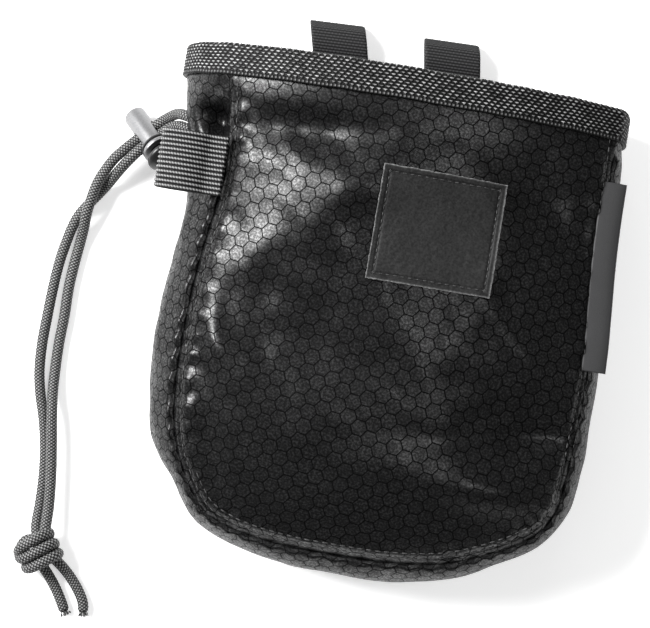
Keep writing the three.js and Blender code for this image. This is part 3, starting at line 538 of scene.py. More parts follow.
def makeCord(name, material):
    facts = cordFacts
    line = cordLine(name)
    _, normal, side = frames(line)
    along = arcLength(line)
    around = np.linspace(0, 2 * math.pi, facts["around"] + 1)
    grid = np.meshgrid(along, around[:-1], indexing="ij")
    height = braidHeight(*grid)
    end = np.clip((along[-1] - along) / facts["endTaper"], 0, 1)[:, None] ** 0.5
    radius = facts["diameter"] / 2 - facts["braidIn"] + facts["plaitRise"] * (height - 0.5)
    radius = radius * (facts["endWidth"] + (1 - facts["endWidth"]) * end)
    circle = normal[:, None] * np.cos(grid[1])[..., None] + side[:, None] * np.sin(grid[1])[..., None]
    rings = line[:, None] + circle * radius[..., None]
    rings[..., 2] = np.maximum(rings[..., 2], facts["floorGap"])
    # The braid's height as lift: painted shade between plaits, painted highlight on them, darkest at the cut
    # end.
    piece = makeTube(f"drawcord_{name}", rings, material, lift=height * end)
    knot = ["drawcord_knot"] if name == "a" else []
    finishPiece(piece, "cord", f"drawcord_strand_{name}", f"drawcord_tail_{name}", *knot)
    print(f"cord {name}: {along[-1]:.1f} mm")


bagSize = {
    "mouthTop": 87.5, "mouthCentre": -1.9, "halfMouth": 76.7, "height": 174.5, "depth": 60.0, "crown": 15.5,
    "bulge": 12.0, "tuck": 13.0, "wall": 1.5, "wallTop": 85.85, "mouthLift": 5.15,
    "seamAngle": 50.0, "widest": 0.44, "crownPower": 2.2,
    "turnOut": 0.054,  # share of the height over which the side turns from straight out
}
# down, left, right, leftBulge, rightBulge, leftSeam, rightSeam, crown, lift: shares of the sizes above
sectionTable = np.array([
    (0.069, 0.784, 0.941, 1.38, 0.38, 0.78, 0.70, 1.00, 1.00),
    (0.123, 0.765, 0.947, 1.35, 0.49, 0.77, 0.70, 1.00, 0.72),
    (0.186, 0.750, 0.950, 1.22, 0.50, 0.75, 0.69, 1.02, 0.62),
    (0.249, 0.750, 0.954, 1.10, 0.52, 0.73, 0.69, 1.03, 0.50),
    (0.318, 0.759, 0.962, 1.01, 0.53, 0.72, 0.69, 1.02, 0.35),
    (0.398, 0.785, 0.977, 0.93, 0.53, 0.71, 0.68, 1.00, 0.10),
    (0.484, 0.804, 0.991, 0.93, 0.51, 0.70, 0.68, 0.98, 0.00),
    (0.570, 0.811, 0.995, 0.93, 0.53, 0.70, 0.67, 0.96, 0.00),
    (0.656, 0.810, 0.986, 0.90, 0.57, 0.69, 0.67, 0.92, 0.00),
    (0.736, 0.791, 0.977, 0.87, 0.58, 0.68, 0.66, 0.86, 0.00),
    (0.794, 0.757, 0.958, 0.72, 0.54, 0.67, 0.65, 0.78, 0.00),
    (0.842, 0.704, 0.898, 0.52, 0.50, 0.66, 0.64, 0.66, 0.00),
    (0.880, 0.648, 0.781, 0.52, 0.55, 0.65, 0.63, 0.54, 0.00),
    (0.910, 0.585, 0.644, 0.54, 0.60, 0.64, 0.62, 0.42, 0.00),
    (0.931, 0.471, 0.520, 0.60, 0.64, 0.63, 0.62, 0.28, 0.00),
    (0.944, 0.327, 0.364, 0.68, 0.69, 0.62, 0.61, 0.14, 0.00),
    (0.951, 0.145, 0.194, 0.75, 0.75, 0.62, 0.61, 0.00, 0.00),
])
sectionNames = ("down", "left", "right", "leftBulge", "rightBulge", "leftSeam", "rightSeam", "crown", "lift")


def sectionAt(place):
    table = sectionTable
    ghost = np.vstack([2 * table[0] - table[1], table, 2 * table[-1] - table[-2]])
    held = np.maximum(place, 0)
    index = np.clip(np.floor(held).astype(int), 0, len(sectionTable) - 2)
    share = (held - index)[:, None]
    p0, p1, p2, p3 = (ghost[index + step] for step in range(4))
    values = 0.5 * (2 * p1 + (p2 - p0) * share + (2 * p0 - 5 * p1 + 4 * p2 - p3) * share ** 2
                    + (3 * p1 - p0 - 3 * p2 + p3) * share ** 3)
    found = dict(zip(sectionNames, values.T))
    found["lift"] = np.maximum(found["lift"], 0)
    found["y"] = bagSize["mouthTop"] - found["down"] * bagSize["height"]
    above = place < 0
    if above.any():
        first = bagSize["mouthTop"] - sectionTable[0, 0] * bagSize["height"]
        found["y"] = np.where(above, first - place * (bagSize["wallTop"] - first), found["y"])
    found["free"] = smooth((found["down"] - sectionTable[0, 0]) / 0.06)
    return found


def smooth(share):
    share = np.clip(share, 0, 1)
    return share * share * (3 - 2 * share)


# Places down the table, evenly spaced along the side seams. Below 0 is the wall inside the binding.
def bagPlaces(spacing):
    place = np.linspace(0, len(sectionTable) - 1, 1200)
    section = sectionAt(place)
    lines = [np.stack([section[side] * bagSize["halfMouth"], section["y"]], -1) for side in ("left", "right")]
    along = (arcLength(lines[0]) + arcLength(lines[1])) / 2
    count = int(round(along[-1] / spacing))
    even = np.interp(np.linspace(0, along[-1], count + 1), along, place)
    top = np.linspace(-1, 0, int(10 / spacing) + 1)[:-1]
    return np.concatenate([top, even])


def seamLine(section, side):
    sign = -1 if side == "left" else 1
    front = np.stack([bagSize["mouthCentre"] + sign * section[side] * bagSize["halfMouth"], section["y"],
                      section[side + "Seam"] * bagSize["depth"]], -1)
    flat = front * (1, 1, 0)
    closing = np.vstack([flat, [[bagSize["mouthCentre"], flat[-1, 1], 0]]])
    along = unit(np.gradient(closing, axis=0)[:-1])
    across = np.stack([-sign * along[:, 1], sign * along[:, 0], np.zeros(len(along))], -1)
    straight = smooth((section["down"][:, None] - sectionTable[0, 0]) / bagSize["turnOut"])
    out = unit(np.array([sign, 0, 0]) * (1 - straight) + across * straight)
    return front, out


def bell(distance, spread):
    return np.exp(-(distance / spread) ** 2)


# Large folds of the front panel, in mm from the middle of the mouth's top: across, down, rise, the spreads
# along and across the fold, and its turn in degrees.
frontFolds = [
    (-30.4, 24.9, -3.3, 24.0, 6.6, 1),
    (-29.2, 47.3, 4.2, 40.0, 9.7, 22),
    (-42.4, 53.5, -2.4, 40.0, 7.8, 29),
    (-44.9, 70.4, 1.2, 24.1, 8.2, 36),
    (53.5, 36.9, -4.3, 9.7, 24.0, 60),
    (66.3, 114.5, -5.0, 31.0, 5.0, 8),
    (54.8, 135.5, 5.6, 28.6, 7.4, -4),
    (-20.2, 95.3, -3.1, 14.3, 24.0, 72),
    (70.0, 72.3, -1.3, 13.1, 22.0, -11),
    (-15.9, 61.9, 0.4, 8.0, 4.5, 37),
    (-56.9, 42.6, 2.4, 9.6, 7.9, 3),
    (-54.6, 97.0, 2.4, 28.2, 7.2, -38),
    (-11.7, 133.1, -0.7, 34.6, 12.5, 12),
    (52.2, 109.1, -2.1, 20.2, 5.4, 6),
    (36.7, 66.6, 1.8, 19.1, 7.6, 71),
    (-54.3, 120.8, 1.7, 12.8, 7.0, 43),
    (65.9, 99.7, 1.7, 36.0, 4.5, -40),
    (-11.8, 42.3, 1.1, 27.9, 5.1, 55),
    (-53.7, 93.4, 2.4, 13.3, 4.5, -80),
    (70.0, 58.2, -2.3, 36.0, 4.5, -84),
    (-50.4, 121.0, -2.3, 36.0, 4.5, -75),
    (52.8, 104.5, -2.4, 11.6, 20.6, -87),
]


def foldHeight(x, y, folds):
    total = np.zeros_like(x)
    for across, down, rise, long, wide, turn in folds:
        angle = math.radians(turn)
        dx = x - bagSize["mouthCentre"] - across
        dy = y - bagSize["mouthTop"] + down
        length = dx * math.cos(angle) + dy * math.sin(angle)
        width = -dx * math.sin(angle) + dy * math.cos(angle)
        total += rise * bell(length, long) * bell(width, wide)
    return total


# Smooth repeatable bumps: value noise on a lattice with a fixed seed.
def bumps(u, v, size, seed):
    table = np.random.default_rng(seed).random((64, 64)) * 2 - 1
    x, y = np.asarray(u) / size + 17.3, np.asarray(v) / size + 9.1
    i, j = np.floor(x).astype(int), np.floor(y).astype(int)
    fx, fy = x - i, y - j
    fx, fy = fx * fx * (3 - 2 * fx), fy * fy * (3 - 2 * fy)

    def corner(a, b):
        return table[(i + a) % 64, (j + b) % 64]

    return ((corner(0, 0) * (1 - fx) + corner(1, 0) * fx) * (1 - fy)
            + (corner(0, 1) * (1 - fx) + corner(1, 1) * fx) * fy)


panelDetail = {
    "spacing": 0.82, "columns": 156,
    "seamRoll": 2.4, "seamRollWidth": 4.8,  # how far and how wide the panel's edge rolls down to its seam
    "stitchIn": 2.5, "stitchDip": 0.5,  # topstitching's place inside the seam and its groove
    "puckerEvery": 8.6, "puckerRise": 0.55, "puckerIn": 3.6, "puckerWidth": 3.2,
}


def frontSurface(places, columns):
    section = sectionAt(places)
    left, _ = seamLine(section, "left")
    right, _ = seamLine(section, "right")
    across = np.linspace(-1, 1, columns + 1)
    even = np.sign(across) * (1 - (1 - np.abs(across)) ** 1.25)  # closer columns near the seams
    share = ((even + 1) / 2)[None, :, None]
    points = left[:, None] * (1 - share) + right[:, None] * share
    inside = 1 - np.abs(even) ** bagSize["crownPower"]
    free = section["free"][:, None] * (1 - even ** 8) * np.minimum(1, section["crown"] * 2)[:, None]
    points[..., 2] += section["crown"][:, None] * bagSize["crown"] * inside
    points[..., 2] += foldHeight(points[..., 0], points[..., 1], frontFolds) * free
    return section, points, even


# Distance from each point of a panel to its side and bottom seams, in mm.
def seamDistance(points, seam):
    distance = np.full(points.shape[:2], 1e6)
    along = np.zeros(points.shape[:2])
    length = arcLength(seam)
    for start in range(len(seam)):
        gap = np.hypot(points[..., 0] - seam[start, 0], points[..., 1] - seam[start, 1])
        nearer = gap < distance
        distance[nearer] = gap[nearer]
        along[nearer] = length[start]
    return distance, along


def clothSpread(points):
    rows, columns = points.shape[:2]
    middle = columns // 2
    steps = np.linalg.norm(np.diff(points, axis=1), axis=-1)
    over = np.concatenate([np.zeros((rows, 1)), np.cumsum(steps, axis=1)], axis=1)
    over -= over[:, middle:middle + 1]
    over += points[:, middle, 0][:, None]
    down = -arcLength(points[:, middle])[:, None] + np.zeros((1, columns))
    return np.stack([over, down + points[0, middle, 1]], -1)


def makeFrontPanel(material):
    detail = panelDetail
    places = bagPlaces(detail["spacing"])
    section, points, even = frontSurface(places, detail["columns"])
    seam = np.vstack([points[:, 0], points[-1, 1:-1], points[::-1, -1]])
    distance, along = seamDistance(points, seam)
    free = section["free"][:, None]
    roll = detail["seamRoll"] * (1 - np.clip(distance / detail["seamRollWidth"], 0, 1)) ** 2
    groove = detail["stitchDip"] * bell(distance - detail["stitchIn"], 0.7)
    wave = np.sin(along / detail["puckerEvery"] * 2 * math.pi + 2.2 * bumps(along, along * 0, 14, 3))
    uneven = 0.6 + 0.6 * bumps(along, along * 0, 11, 5)
    pucker = detail["puckerRise"] * wave * bell(distance - detail["puckerIn"], detail["puckerWidth"]) * uneven
    x, y = points[..., 0], points[..., 1]
    wrinkles = 0.55 * bumps(x * 0.8 + y * 0.5, y - x * 0.3, 11, 11)
    wrinkles = wrinkles + 0.22 * bumps(x + y * 0.4, y * 0.8, 5, 12)
    z = -roll - groove + pucker + wrinkles * free * np.clip(distance / 8, 0.25, 1)
    points[..., 2] += z * np.clip(free + 0.15, 0, 1)
    normals = gridNormals(points)
    normals *= np.sign(normals[len(points) // 2, len(even) // 2, 2])
    inner = points - normals * bagSize["wall"]
    piece = makeShell("frontPanel", points, inner, material, clothSpread(points))
    finishPiece(piece, "ripstop", "front_panel")
    return points


def finishPiece(piece, slot, *nodes, body="bag"):
    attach(piece, body)
    if nodes:
        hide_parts(*nodes)


gussetDetail = {
    "spacing": 0.95, "columns": 56, "hole": (-74.6, 61.1, 19.1), "holeDiameter": 10.4, "holeSides": 40,
    "dip": 1.9, "dipWidth": 1.6, "puckerRise": 0.45, "puckerEvery": 8.2, "puckerIn": 3.0, "puckerWidth": 3.0,
    "wrinkles": ((0.6, 13, 21), (0.25, 6, 22)),  # rise and length in mm, and the draw's number
}
gussetFolds = [  # side, down, around, rise in mm, tall, wide
    ("left", 0.142, 0.92, -15.0, 0.045, 0.12),
    ("left", 0.135, 0.60, 2.0, 0.060, 0.10),
]


def gussetSide(section, side, columns):
    front, out = seamLine(section, side)
    bulge = section[side + "Bulge"] * bagSize["bulge"]
    floor = section["lift"] * bagSize["mouthLift"]
    middle = front[:, 2] * bagSize["widest"]
    around = np.linspace(0, 1, columns + 1)
    lower = int(round(columns * 4 / 9))
    share = np.where(np.arange(columns + 1) < lower, np.arange(columns + 1) / lower,
                     (np.arange(columns + 1) - lower) / (columns - lower))
    isLower = np.arange(columns + 1) < lower
    seamAngle = math.radians(bagSize["seamAngle"])
    angle = np.where(isLower, share * math.pi / 2, share * seamAngle)
    inset = np.where(isLower, bagSize["tuck"] * (1 - np.sin(angle)),
                     bulge[:, None] * (1 - np.cos(angle)) / (1 - math.cos(seamAngle)))
    height = np.where(isLower, floor[:, None] + (middle - floor)[:, None] * (1 - np.cos(angle)),
                      middle[:, None] + (front[:, 2] - middle)[:, None] * np.sin(angle) / math.sin(seamAngle))
    points = front[:, None] + out[:, None] * (bulge[:, None] - inset)[..., None]
    points[..., 2] = height
    push = np.zeros_like(height)
    for foldSide, down, place, rise, tall, wide in gussetFolds:
        if foldSide == side:
            edge = np.sin(math.pi * around) ** 0.25
            push += rise * bell(section["down"] - down, tall)[:, None] * bell(around - place, wide) * edge
    push *= section["free"][:, None]
    points += out[:, None] * push[..., None] * 0.25
    points[..., 2] += push
    return points


def gussetNormals(points):
    normals = gridNormals(points)
    return normals * -np.sign(normals[20, points.shape[1] // 2, 0])


def makeGusset(material):
    detail = gussetDetail
    places = bagPlaces(detail["spacing"])
    section = sectionAt(places)
    left = gussetSide(section, "left", detail["columns"])
    right = gussetSide(section, "right", detail["columns"])
    width = np.linalg.norm(right[-1, -1] - left[-1, -1])
    share = np.linspace(0, 1, int(round(width / detail["spacing"])) + 1)[1:-1, None, None]
    bottom = left[-1] * (1 - share) + right[-1] * share
    points = np.concatenate([left, bottom, right[::-1]])
    rows, columns = points.shape[:2]
    steps = np.linalg.norm(np.diff(points, axis=1), axis=-1)
    over = np.concatenate([np.zeros((rows, 1)), np.cumsum(steps, axis=1)], axis=1)
    down = arcLength(points[:, columns // 2])[:, None] + np.zeros((1, columns))
    around = np.linspace(0, 1, columns)[None, :]
    outward = gussetNormals(points)
    free = np.concatenate([section["free"], np.full(len(bottom), section["free"][-1]), section["free"][::-1]])
    fromSeam = over[:, -1:] - over
    dip = detail["dip"] * bell(fromSeam, detail["dipWidth"]) * np.clip(free[:, None] + 0.15, 0, 1)
    wave = np.sin(down / detail["puckerEvery"] * 2 * math.pi + 2 * bumps(down, down * 0, 12, 4))
    pucker = detail["puckerRise"] * wave * bell(fromSeam - detail["puckerIn"], detail["puckerWidth"])
    wrinkles = sum(rise * bumps(down, over, long, draw) for rise, long, draw in detail["wrinkles"])
    push = pucker + wrinkles * np.sin(math.pi * around) ** 0.7
    points = points + outward * push[..., None]
    points[..., 2] -= dip
    inner = points - gussetNormals(points) * bagSize["wall"]
    piece = makeShell("gussetPanel", points, inner, material, np.stack([down, over], -1))
    cutHole(piece)
    finishPiece(piece, "ripstop", "gusset")
    return points


def cutHole(piece):
    detail = gussetDetail
    mesh = bpy.data.meshes.new("holeCutter")
    maker = bmesh.new()
    radius = detail["holeDiameter"] / 2 * mm
    bmesh.ops.create_cone(maker, cap_ends=True, segments=detail["holeSides"], radius1=radius, radius2=radius,
                          depth=14 * mm, matrix=Matrix.Translation(Vector(detail["hole"]) * mm)
                          @ Matrix.Rotation(math.pi / 2, 4, "Y"))
    maker.to_mesh(mesh)
    maker.free()
    cutAway(piece, addObject("holeCutter", mesh))


def cutAway(piece, cutter):
    cut = piece.modifiers.new("cut", "BOOLEAN")
    cut.object = cutter
    cut.operation = "DIFFERENCE"
    cut.solver = "EXACT"
    bakeModifiers(piece)
    bpy.data.objects.remove(cutter)


def bakeModifiers(piece):
    depsgraph = bpy.context.evaluated_depsgraph_get()
    baked = bpy.data.meshes.new_from_object(piece.evaluated_get(depsgraph), preserve_all_data_layers=True,
                                            depsgraph=depsgraph)
    piece.modifiers.clear()
    old = piece.data
    piece.data = baked
    bpy.data.meshes.remove(old)


backDetail = {"columns": 60, "rise": 0.9, "edge": 9.0, "bump": 16.0}


def makeBackPanel(material, gusset):
    detail = backDetail
    half = (len(gusset) + 1) // 2
    left = gusset[:half, 0]
    right = gusset[::-1][:half, 0]
    share = np.linspace(0, 1, detail["columns"] + 1)[None, :, None]
    points = left[:, None] * (1 - share) + right[:, None] * share
    distance = np.minimum(share[..., 0], 1 - share[..., 0]) * np.linalg.norm(right - left, axis=-1)[:, None]
    x, y = points[..., 0], points[..., 1]
    rise = 0.5 + 0.5 * bumps(x, y, detail["bump"], 31)
    points[..., 2] += detail["rise"] * np.clip(distance / detail["edge"], 0, 1) * rise * 0.8
    points[..., 2] = np.maximum(points[..., 2], 0.0)
    inner = points + np.array([0, 0, bagSize["wall"]])
    piece = makeShell("backPanel", points, inner, material, clothSpread(points))
    finishPiece(piece, "ripstop", "back_panel")


def closedEvenly(loop, count):
    closed = np.vstack([loop, loop[:1]])
    along = arcLength(closed)
    target = np.linspace(0, along[-1], count + 1)[:-1]
    return np.stack([np.interp(target, along, closed[:, axis]) for axis in range(3)], -1), along[-1]


def softenLoop(loop, times):
    for _ in range(times):
        loop = 0.25 * np.roll(loop, 1, 0) + 0.5 * loop + 0.25 * np.roll(loop, -1, 0)
    return loop


def mouthOutline(place, count, soften=14):
    section = sectionAt(np.array([place, place]))
    left, right = (gussetSide(section, side, 40)[0] for side in ("left", "right"))
    across = np.linspace(-1, 1, 61)
    share = ((across + 1) / 2)[:, None]
    front = left[-1] * (1 - share) + right[-1] * share
    front[:, 2] += section["crown"][0] * bagSize["crown"] * (1 - np.abs(across) ** bagSize["crownPower"])
    back = right[0] * (1 - share) + left[0] * share
    loop = np.vstack([left[:-1], front, right[::-1][1:-1], back[:-1]])
    even, length = closedEvenly(loop, count)
    even = softenLoop(even, soften)
    along = unit(np.roll(even, -1, 0) - np.roll(even, 1, 0))
    out = np.stack([-along[:, 2], np.zeros(count), along[:, 0]], -1)
    return even, out, length


bindingLook = {
    "height": 11.0, "proud": 1.65, "cloth": 1.3, "under": 1.85,  # mm
    "float": 2.15, "row": 1.06, "rise": 0.5, "selvedge": 1.5, "selvedgePitch": 1.35,
    "around": 1320, "faceRows": 50, "foldRows": 8, "fold": 1.5, "innerTop": 2.6,
    # Shares of one stitch of the weave
    "barLong": 0.42, "barWide": 0.27, "legWide": 0.15, "legHeight": 0.85, "brickLean": 0.12,
}


def makeBinding(material):
    look = bindingLook
    loop, out, length = mouthOutline(0.0, look["around"])
    along = np.arange(look["around"]) * length / look["around"]
    top = bagSize["mouthTop"]
    bottom = top - look["height"]
    fold, foldRows = look["fold"], look["foldRows"]
    faceRows = look["faceRows"]
    face = np.stack([np.full(faceRows, look["proud"]), np.linspace(bottom, top - fold, faceRows)], -1)
    angle = np.linspace(0, math.pi, foldRows + 2)[1:-1]
    halfWidth = (look["proud"] + look["under"] + look["cloth"]) / 2
    middle = look["proud"] - halfWidth
    over = np.stack([middle + halfWidth * np.cos(angle), top - fold + fold * np.sin(angle)], -1)
    inside = np.stack([np.full(foldRows, middle - halfWidth), np.linspace(top - fold, bottom, foldRows)], -1)
    innerTop, under, lining = top - look["innerTop"], -look["under"], look["proud"] - look["cloth"]
    inner = [(under, bottom), (under, innerTop), (lining, innerTop), (lining, bottom)]
    profile = np.vstack([face, over, inside, inner])
    worked = len(face) + len(over) + len(inside)
    across = arcLength(profile)
    direction = np.gradient(profile, axis=0)
    normal = unit(np.stack([direction[:, 1], -direction[:, 0]], -1))
    u, v = np.meshgrid(along, across, indexing="ij")
    selvedge = look["selvedge"]
    row = (v - selvedge) / look["row"]
    rowIndex = np.floor(row)
    shift = np.where(rowIndex % 2 < 1, 0.0, 0.5)
    brick = u / (length / round(length / look["float"])) + shift + look["brickLean"] * row
    wobble = 0.10 * bumps(u, v, 3, 41)
    fu, fv = (brick + wobble) % 1 - 0.5, row % 1 - 0.5
    bar = np.clip(1 - (np.abs(fu) / look["barLong"]) ** 4, 0, 1)
    bar = bar * np.clip(1 - (fv / look["barWide"]) ** 2, 0, 1) ** 0.5
    leg = np.clip(1 - (fu / look["legWide"]) ** 2, 0, 1) ** 0.5 * np.where(fv < 0, look["legHeight"], 0)
    loops = (u / (length / round(length / look["selvedgePitch"]))) % 1
    edge = np.sin(math.pi * loops) ** 0.8 * np.sin(math.pi * np.clip(v / selvedge, 0, 1)) ** 0.5
    height = np.where(v < selvedge, edge, np.maximum(bar, leg))
    uneven = 0.86 + 0.16 * bumps(np.floor(brick + wobble) * 1.37, rowIndex * 1.71, 1.0, 44)
    height[:, worked:] = 0
    rise = look["rise"] * (height - 0.35)
    rise[:, worked:] = 0
    wave = 0.35 * bumps(u, v * 0, 15, 42) + 0.2 * bumps(u, v * 0, 6, 43)
    offset = profile[None, :, 0] + normal[None, :, 0] * rise + wave * 0.5
    level = profile[None, :, 1] + normal[None, :, 1] * rise + wave * 0.5
    points = loop[:, None] + out[:, None] * offset[..., None]
    points[..., 1] = level
    points[..., 2] = np.maximum(points[..., 2], 0.2)
    # The weave's height as lift: painted shade in the gaps, painted highlight on the floats and selvedge
    # loops.
    piece = makeRing("rimBinding", points, material, lift=height * np.where(v < selvedge, 0.72, uneven))
    finishPiece(piece, "binding", "rim_binding")


hemLook = {
    "around": 420, "sides": 24, "low": 54.4, "tall": 8.0,  # mm
    "inside": 3.0, "thick": 0.9, "clear": 1.2,  # depth inside the wall, half the thickness, room left
    "wave": 0.25, "waves": 90, "clothLong": 380, "clothWide": 22,
}


def makeHem(material):
    look = hemLook
    count = look["around"]
    places = np.linspace(1.15, 2.6, 22)
    rings = []
    for turn in np.linspace(0, 2 * math.pi, look["sides"] + 1)[:-1]:
        y = look["low"] + look["tall"] * (0.5 + 0.5 * math.cos(turn))
        depth = look["inside"] - look["thick"] * math.sin(turn) + look["clear"]
        place = np.interp(-y, -sectionAt(places)["y"], places)
        loop, out, _ = mouthOutline(float(place), count)
        rings.append(loop - out * depth)
    points = np.stack(rings, 1)
    points[..., 2] += look["wave"] * np.sin(np.arange(count) / count * look["waves"] * 2 * math.pi)[:, None]
    piece = makeRing("cordHem", points, material, spread=ringSpread(points))
    finishPiece(piece, "hem", "cord_hem")


def ringSpread(points):
    rows, columns = points.shape[:2]
    down = np.linspace(0, hemLook["clothLong"], rows + 1)
    over = np.linspace(0, hemLook["clothWide"], columns + 1)
    return np.stack(np.meshgrid(down, over, indexing="ij"), -1)


loopLook = {"width": 20.0, "cloth": 1.4, "above": 19.4, "below": 25.5, "gap": 6.0, "rib": 1.0, "rise": 0.3,
            "thread": 1.3, "across": 40, "spacing": 0.25, "floorGap": 0.05}
beltLoops = [{"name": "beltLoopLeft", "node": "belt_loop_left", "across": -0.307, "lean": 12.0, "turn": 2.3},
             {"name": "beltLoopRight", "node": "belt_loop_right", "across": 0.215, "lean": 8.0, "turn": 1.2}]


# Both sides of a band along a line of (along, up) points. It lies across the line, with ribs on both sides.
def bandPoints(line, width, cloth, ribs):
    direction = unit(np.gradient(line, axis=0))
    normal = np.stack([-direction[:, 1], direction[:, 0]], -1)
    columns = np.linspace(-0.5, 0.5, ribs.shape[1])
    edge = np.clip((0.5 - np.abs(columns)) * width / 0.6, 0, 1) ** 0.5
    sides = []
    for sign in (1, -1):
        thick = sign * (cloth / 2 * (0.45 + 0.55 * edge)[None, :] + ribs)
        place = line[:, None] + normal[:, None] * thick[..., None]
        across = np.broadcast_to((columns * width)[None, :, None], (*thick.shape, 1))
        sides.append(np.concatenate([across, place], -1))
    return sides


def makeBeltLoops(material):
    look = loopLook
    cloth, gap, above, below, width = (look[name] for name in ("cloth", "gap", "above", "below", "width"))
    flat, folded, upper = cloth / 2, 1.5 * cloth, 2 * cloth - 0.7
    line = [(-below, flat), (-12, flat), (2, flat), (12, flat), (above - 2.2, flat), (above - 0.8, 1.2),
            (above - 0.55, 2.4), (above - 1.6, 4.2), (0.8 * above, upper + 0.86 * gap),
            (0.62 * above, upper + gap), (0.42 * above, upper + 0.84 * gap), (0.2 * above, upper + 0.34 * gap),
            (0, folded), (-12, folded), (-below, folded)]
    line = evenly(centripetal(line), look["spacing"])
    u, v = np.meshgrid(arcLength(line), np.linspace(-0.5, 0.5, look["across"]) * width, indexing="ij")
    rib = np.abs(np.sin(math.pi * u / look["rib"])) ** 0.8
    cord = 0.5 + 0.5 * np.sin(2 * math.pi * v / look["thread"] + (np.floor(u / look["rib"]) % 2) * math.pi)
    ribs = look["rise"] * (rib * (0.6 + 0.4 * cord) - 0.6)
    # The ribs' height as lift: painted shade between ribs, painted highlight on them.
    lift = ribs / look["rise"] + 0.6
    sides = bandPoints(line, width, cloth, ribs)
    for loop in beltLoops:
        lean, angle = math.tan(math.radians(loop["lean"])), math.radians(loop["turn"])
        slant = np.array([[1, 0, 0], [-lean, 1, 0], [0, 0, 1]])
        turn = slant @ turnFlat(angle)
        shift = (bagSize["mouthCentre"] + loop["across"] * bagSize["halfMouth"], bagSize["mouthTop"], 0)
        outer, inner = (side @ turn + shift for side in sides)
        for side in (outer, inner):
            side[..., 2] = np.maximum(side[..., 2], look["floorGap"])
        piece = makeShell(loop["name"], outer, inner, material, lift=lift, innerLift=lift)
        finishPiece(piece, "webbing", loop["node"])


brushLook = {"width": 20.2, "reach": 22.0, "cloth": 1.3, "gap": 6.4, "top": 31.7, "droop": 0.2, "ribs": 13,
             "rise": 0.62, "twist": 1.05, "across": 118, "spacing": 0.32,
             "thin": 0.3, "gapBeside": 0.35}


def makeBrushLoop(material, root):
    look = brushLook
    half = look["gap"] / 2
    line = [(-1.2, 0.65), (0, 0.65), (4.4, 0.8), (7.5, 0.62 * half + 0.65), (10.6, 0.94 * half + 0.65),
            (13.6, half + 0.65), (16.7, 0.94 * half + 0.6), (19.4, 0.7 * half + 0.5),
            (21.0, 0.36 * half + 0.2), (21.4, -0.1), (21.0, -0.36 * half - 0.3), (19.4, -0.7 * half - 0.5),
            (16.7, -0.94 * half - 0.6), (13.6, -half - 0.65), (10.6, -0.94 * half - 0.65),
            (7.5, -0.62 * half - 0.65), (4.4, -0.8), (0, -0.65), (-1.2, -0.65)]
    line = evenly(centripetal(line), look["spacing"])
    u, v = np.meshgrid(arcLength(line), np.linspace(-0.5, 0.5, look["across"]), indexing="ij")
    rib = (v + 0.5) * look["ribs"]
    inside = rib % 1
    twist = (u / look["twist"] + inside * 0.8 + 0.37 * np.floor(rib)) % 1
    shape = np.sin(math.pi * inside) * (0.5 + 0.5 * np.sin(math.pi * twist) ** 0.8)
    ribs = look["rise"] * (shape - 0.45)
    # The twisted ribs' height as lift: painted shade between ribs, painted highlight on the twists.
    lift = ribs / look["rise"] + 0.45
    outer, inner = bandPoints(line, look["width"], look["cloth"] - look["thin"], ribs)
    # The band's width runs to -Y, its length to -X and its height to +Z.
    droop = look["droop"]
    basis = np.array([(0, -1, 0), unit(np.array([-1, 0, -droop])), unit(np.array([-droop, 0, 1]))])
    beside = look["gapBeside"]
    middle = bagSize["mouthTop"] - look["top"] - look["width"] / 2
    shift = np.array([root[0] - beside, middle, root[1] + look["cloth"] + 2 * beside])
    piece = makeShell("brushLoop", outer @ basis + shift, inner @ basis + shift, material,
                      lift=lift, innerLift=lift)
    finishPiece(piece, "elastic", "brush_loop")


patchLook = {"left": -6.4, "top": 33.0, "width": 41.6, "height": 38.0, "cloth": 1.2, "spacing": 0.34,
             "stitchIn": 2.2, "stitchDip": 0.32, "edgeRise": 0.45, "edgeWidth": 0.5,
             "over": 0.5, "under": 0.3, "weave": 0.06, "soften": 40}


# Height of a panel at places in the flat.
def heightOver(points, x, y):
    rows, columns = points.shape[:2]
    row = np.interp(-y, -points[:, columns // 2, 1], np.arange(rows)).ravel()
    low = np.clip(np.floor(row).astype(int), 0, rows - 2)
    flatX = x.ravel()
    values = np.zeros(len(flatX))
    for index in np.unique(low):
        inside = low == index
        first, second = (np.interp(flatX[inside], points[index + step, :, 0], points[index + step, :, 2])
                         for step in (0, 1))
        part = row[inside] - index
        values[inside] = first * (1 - part) + second * part
    return values.reshape(x.shape)


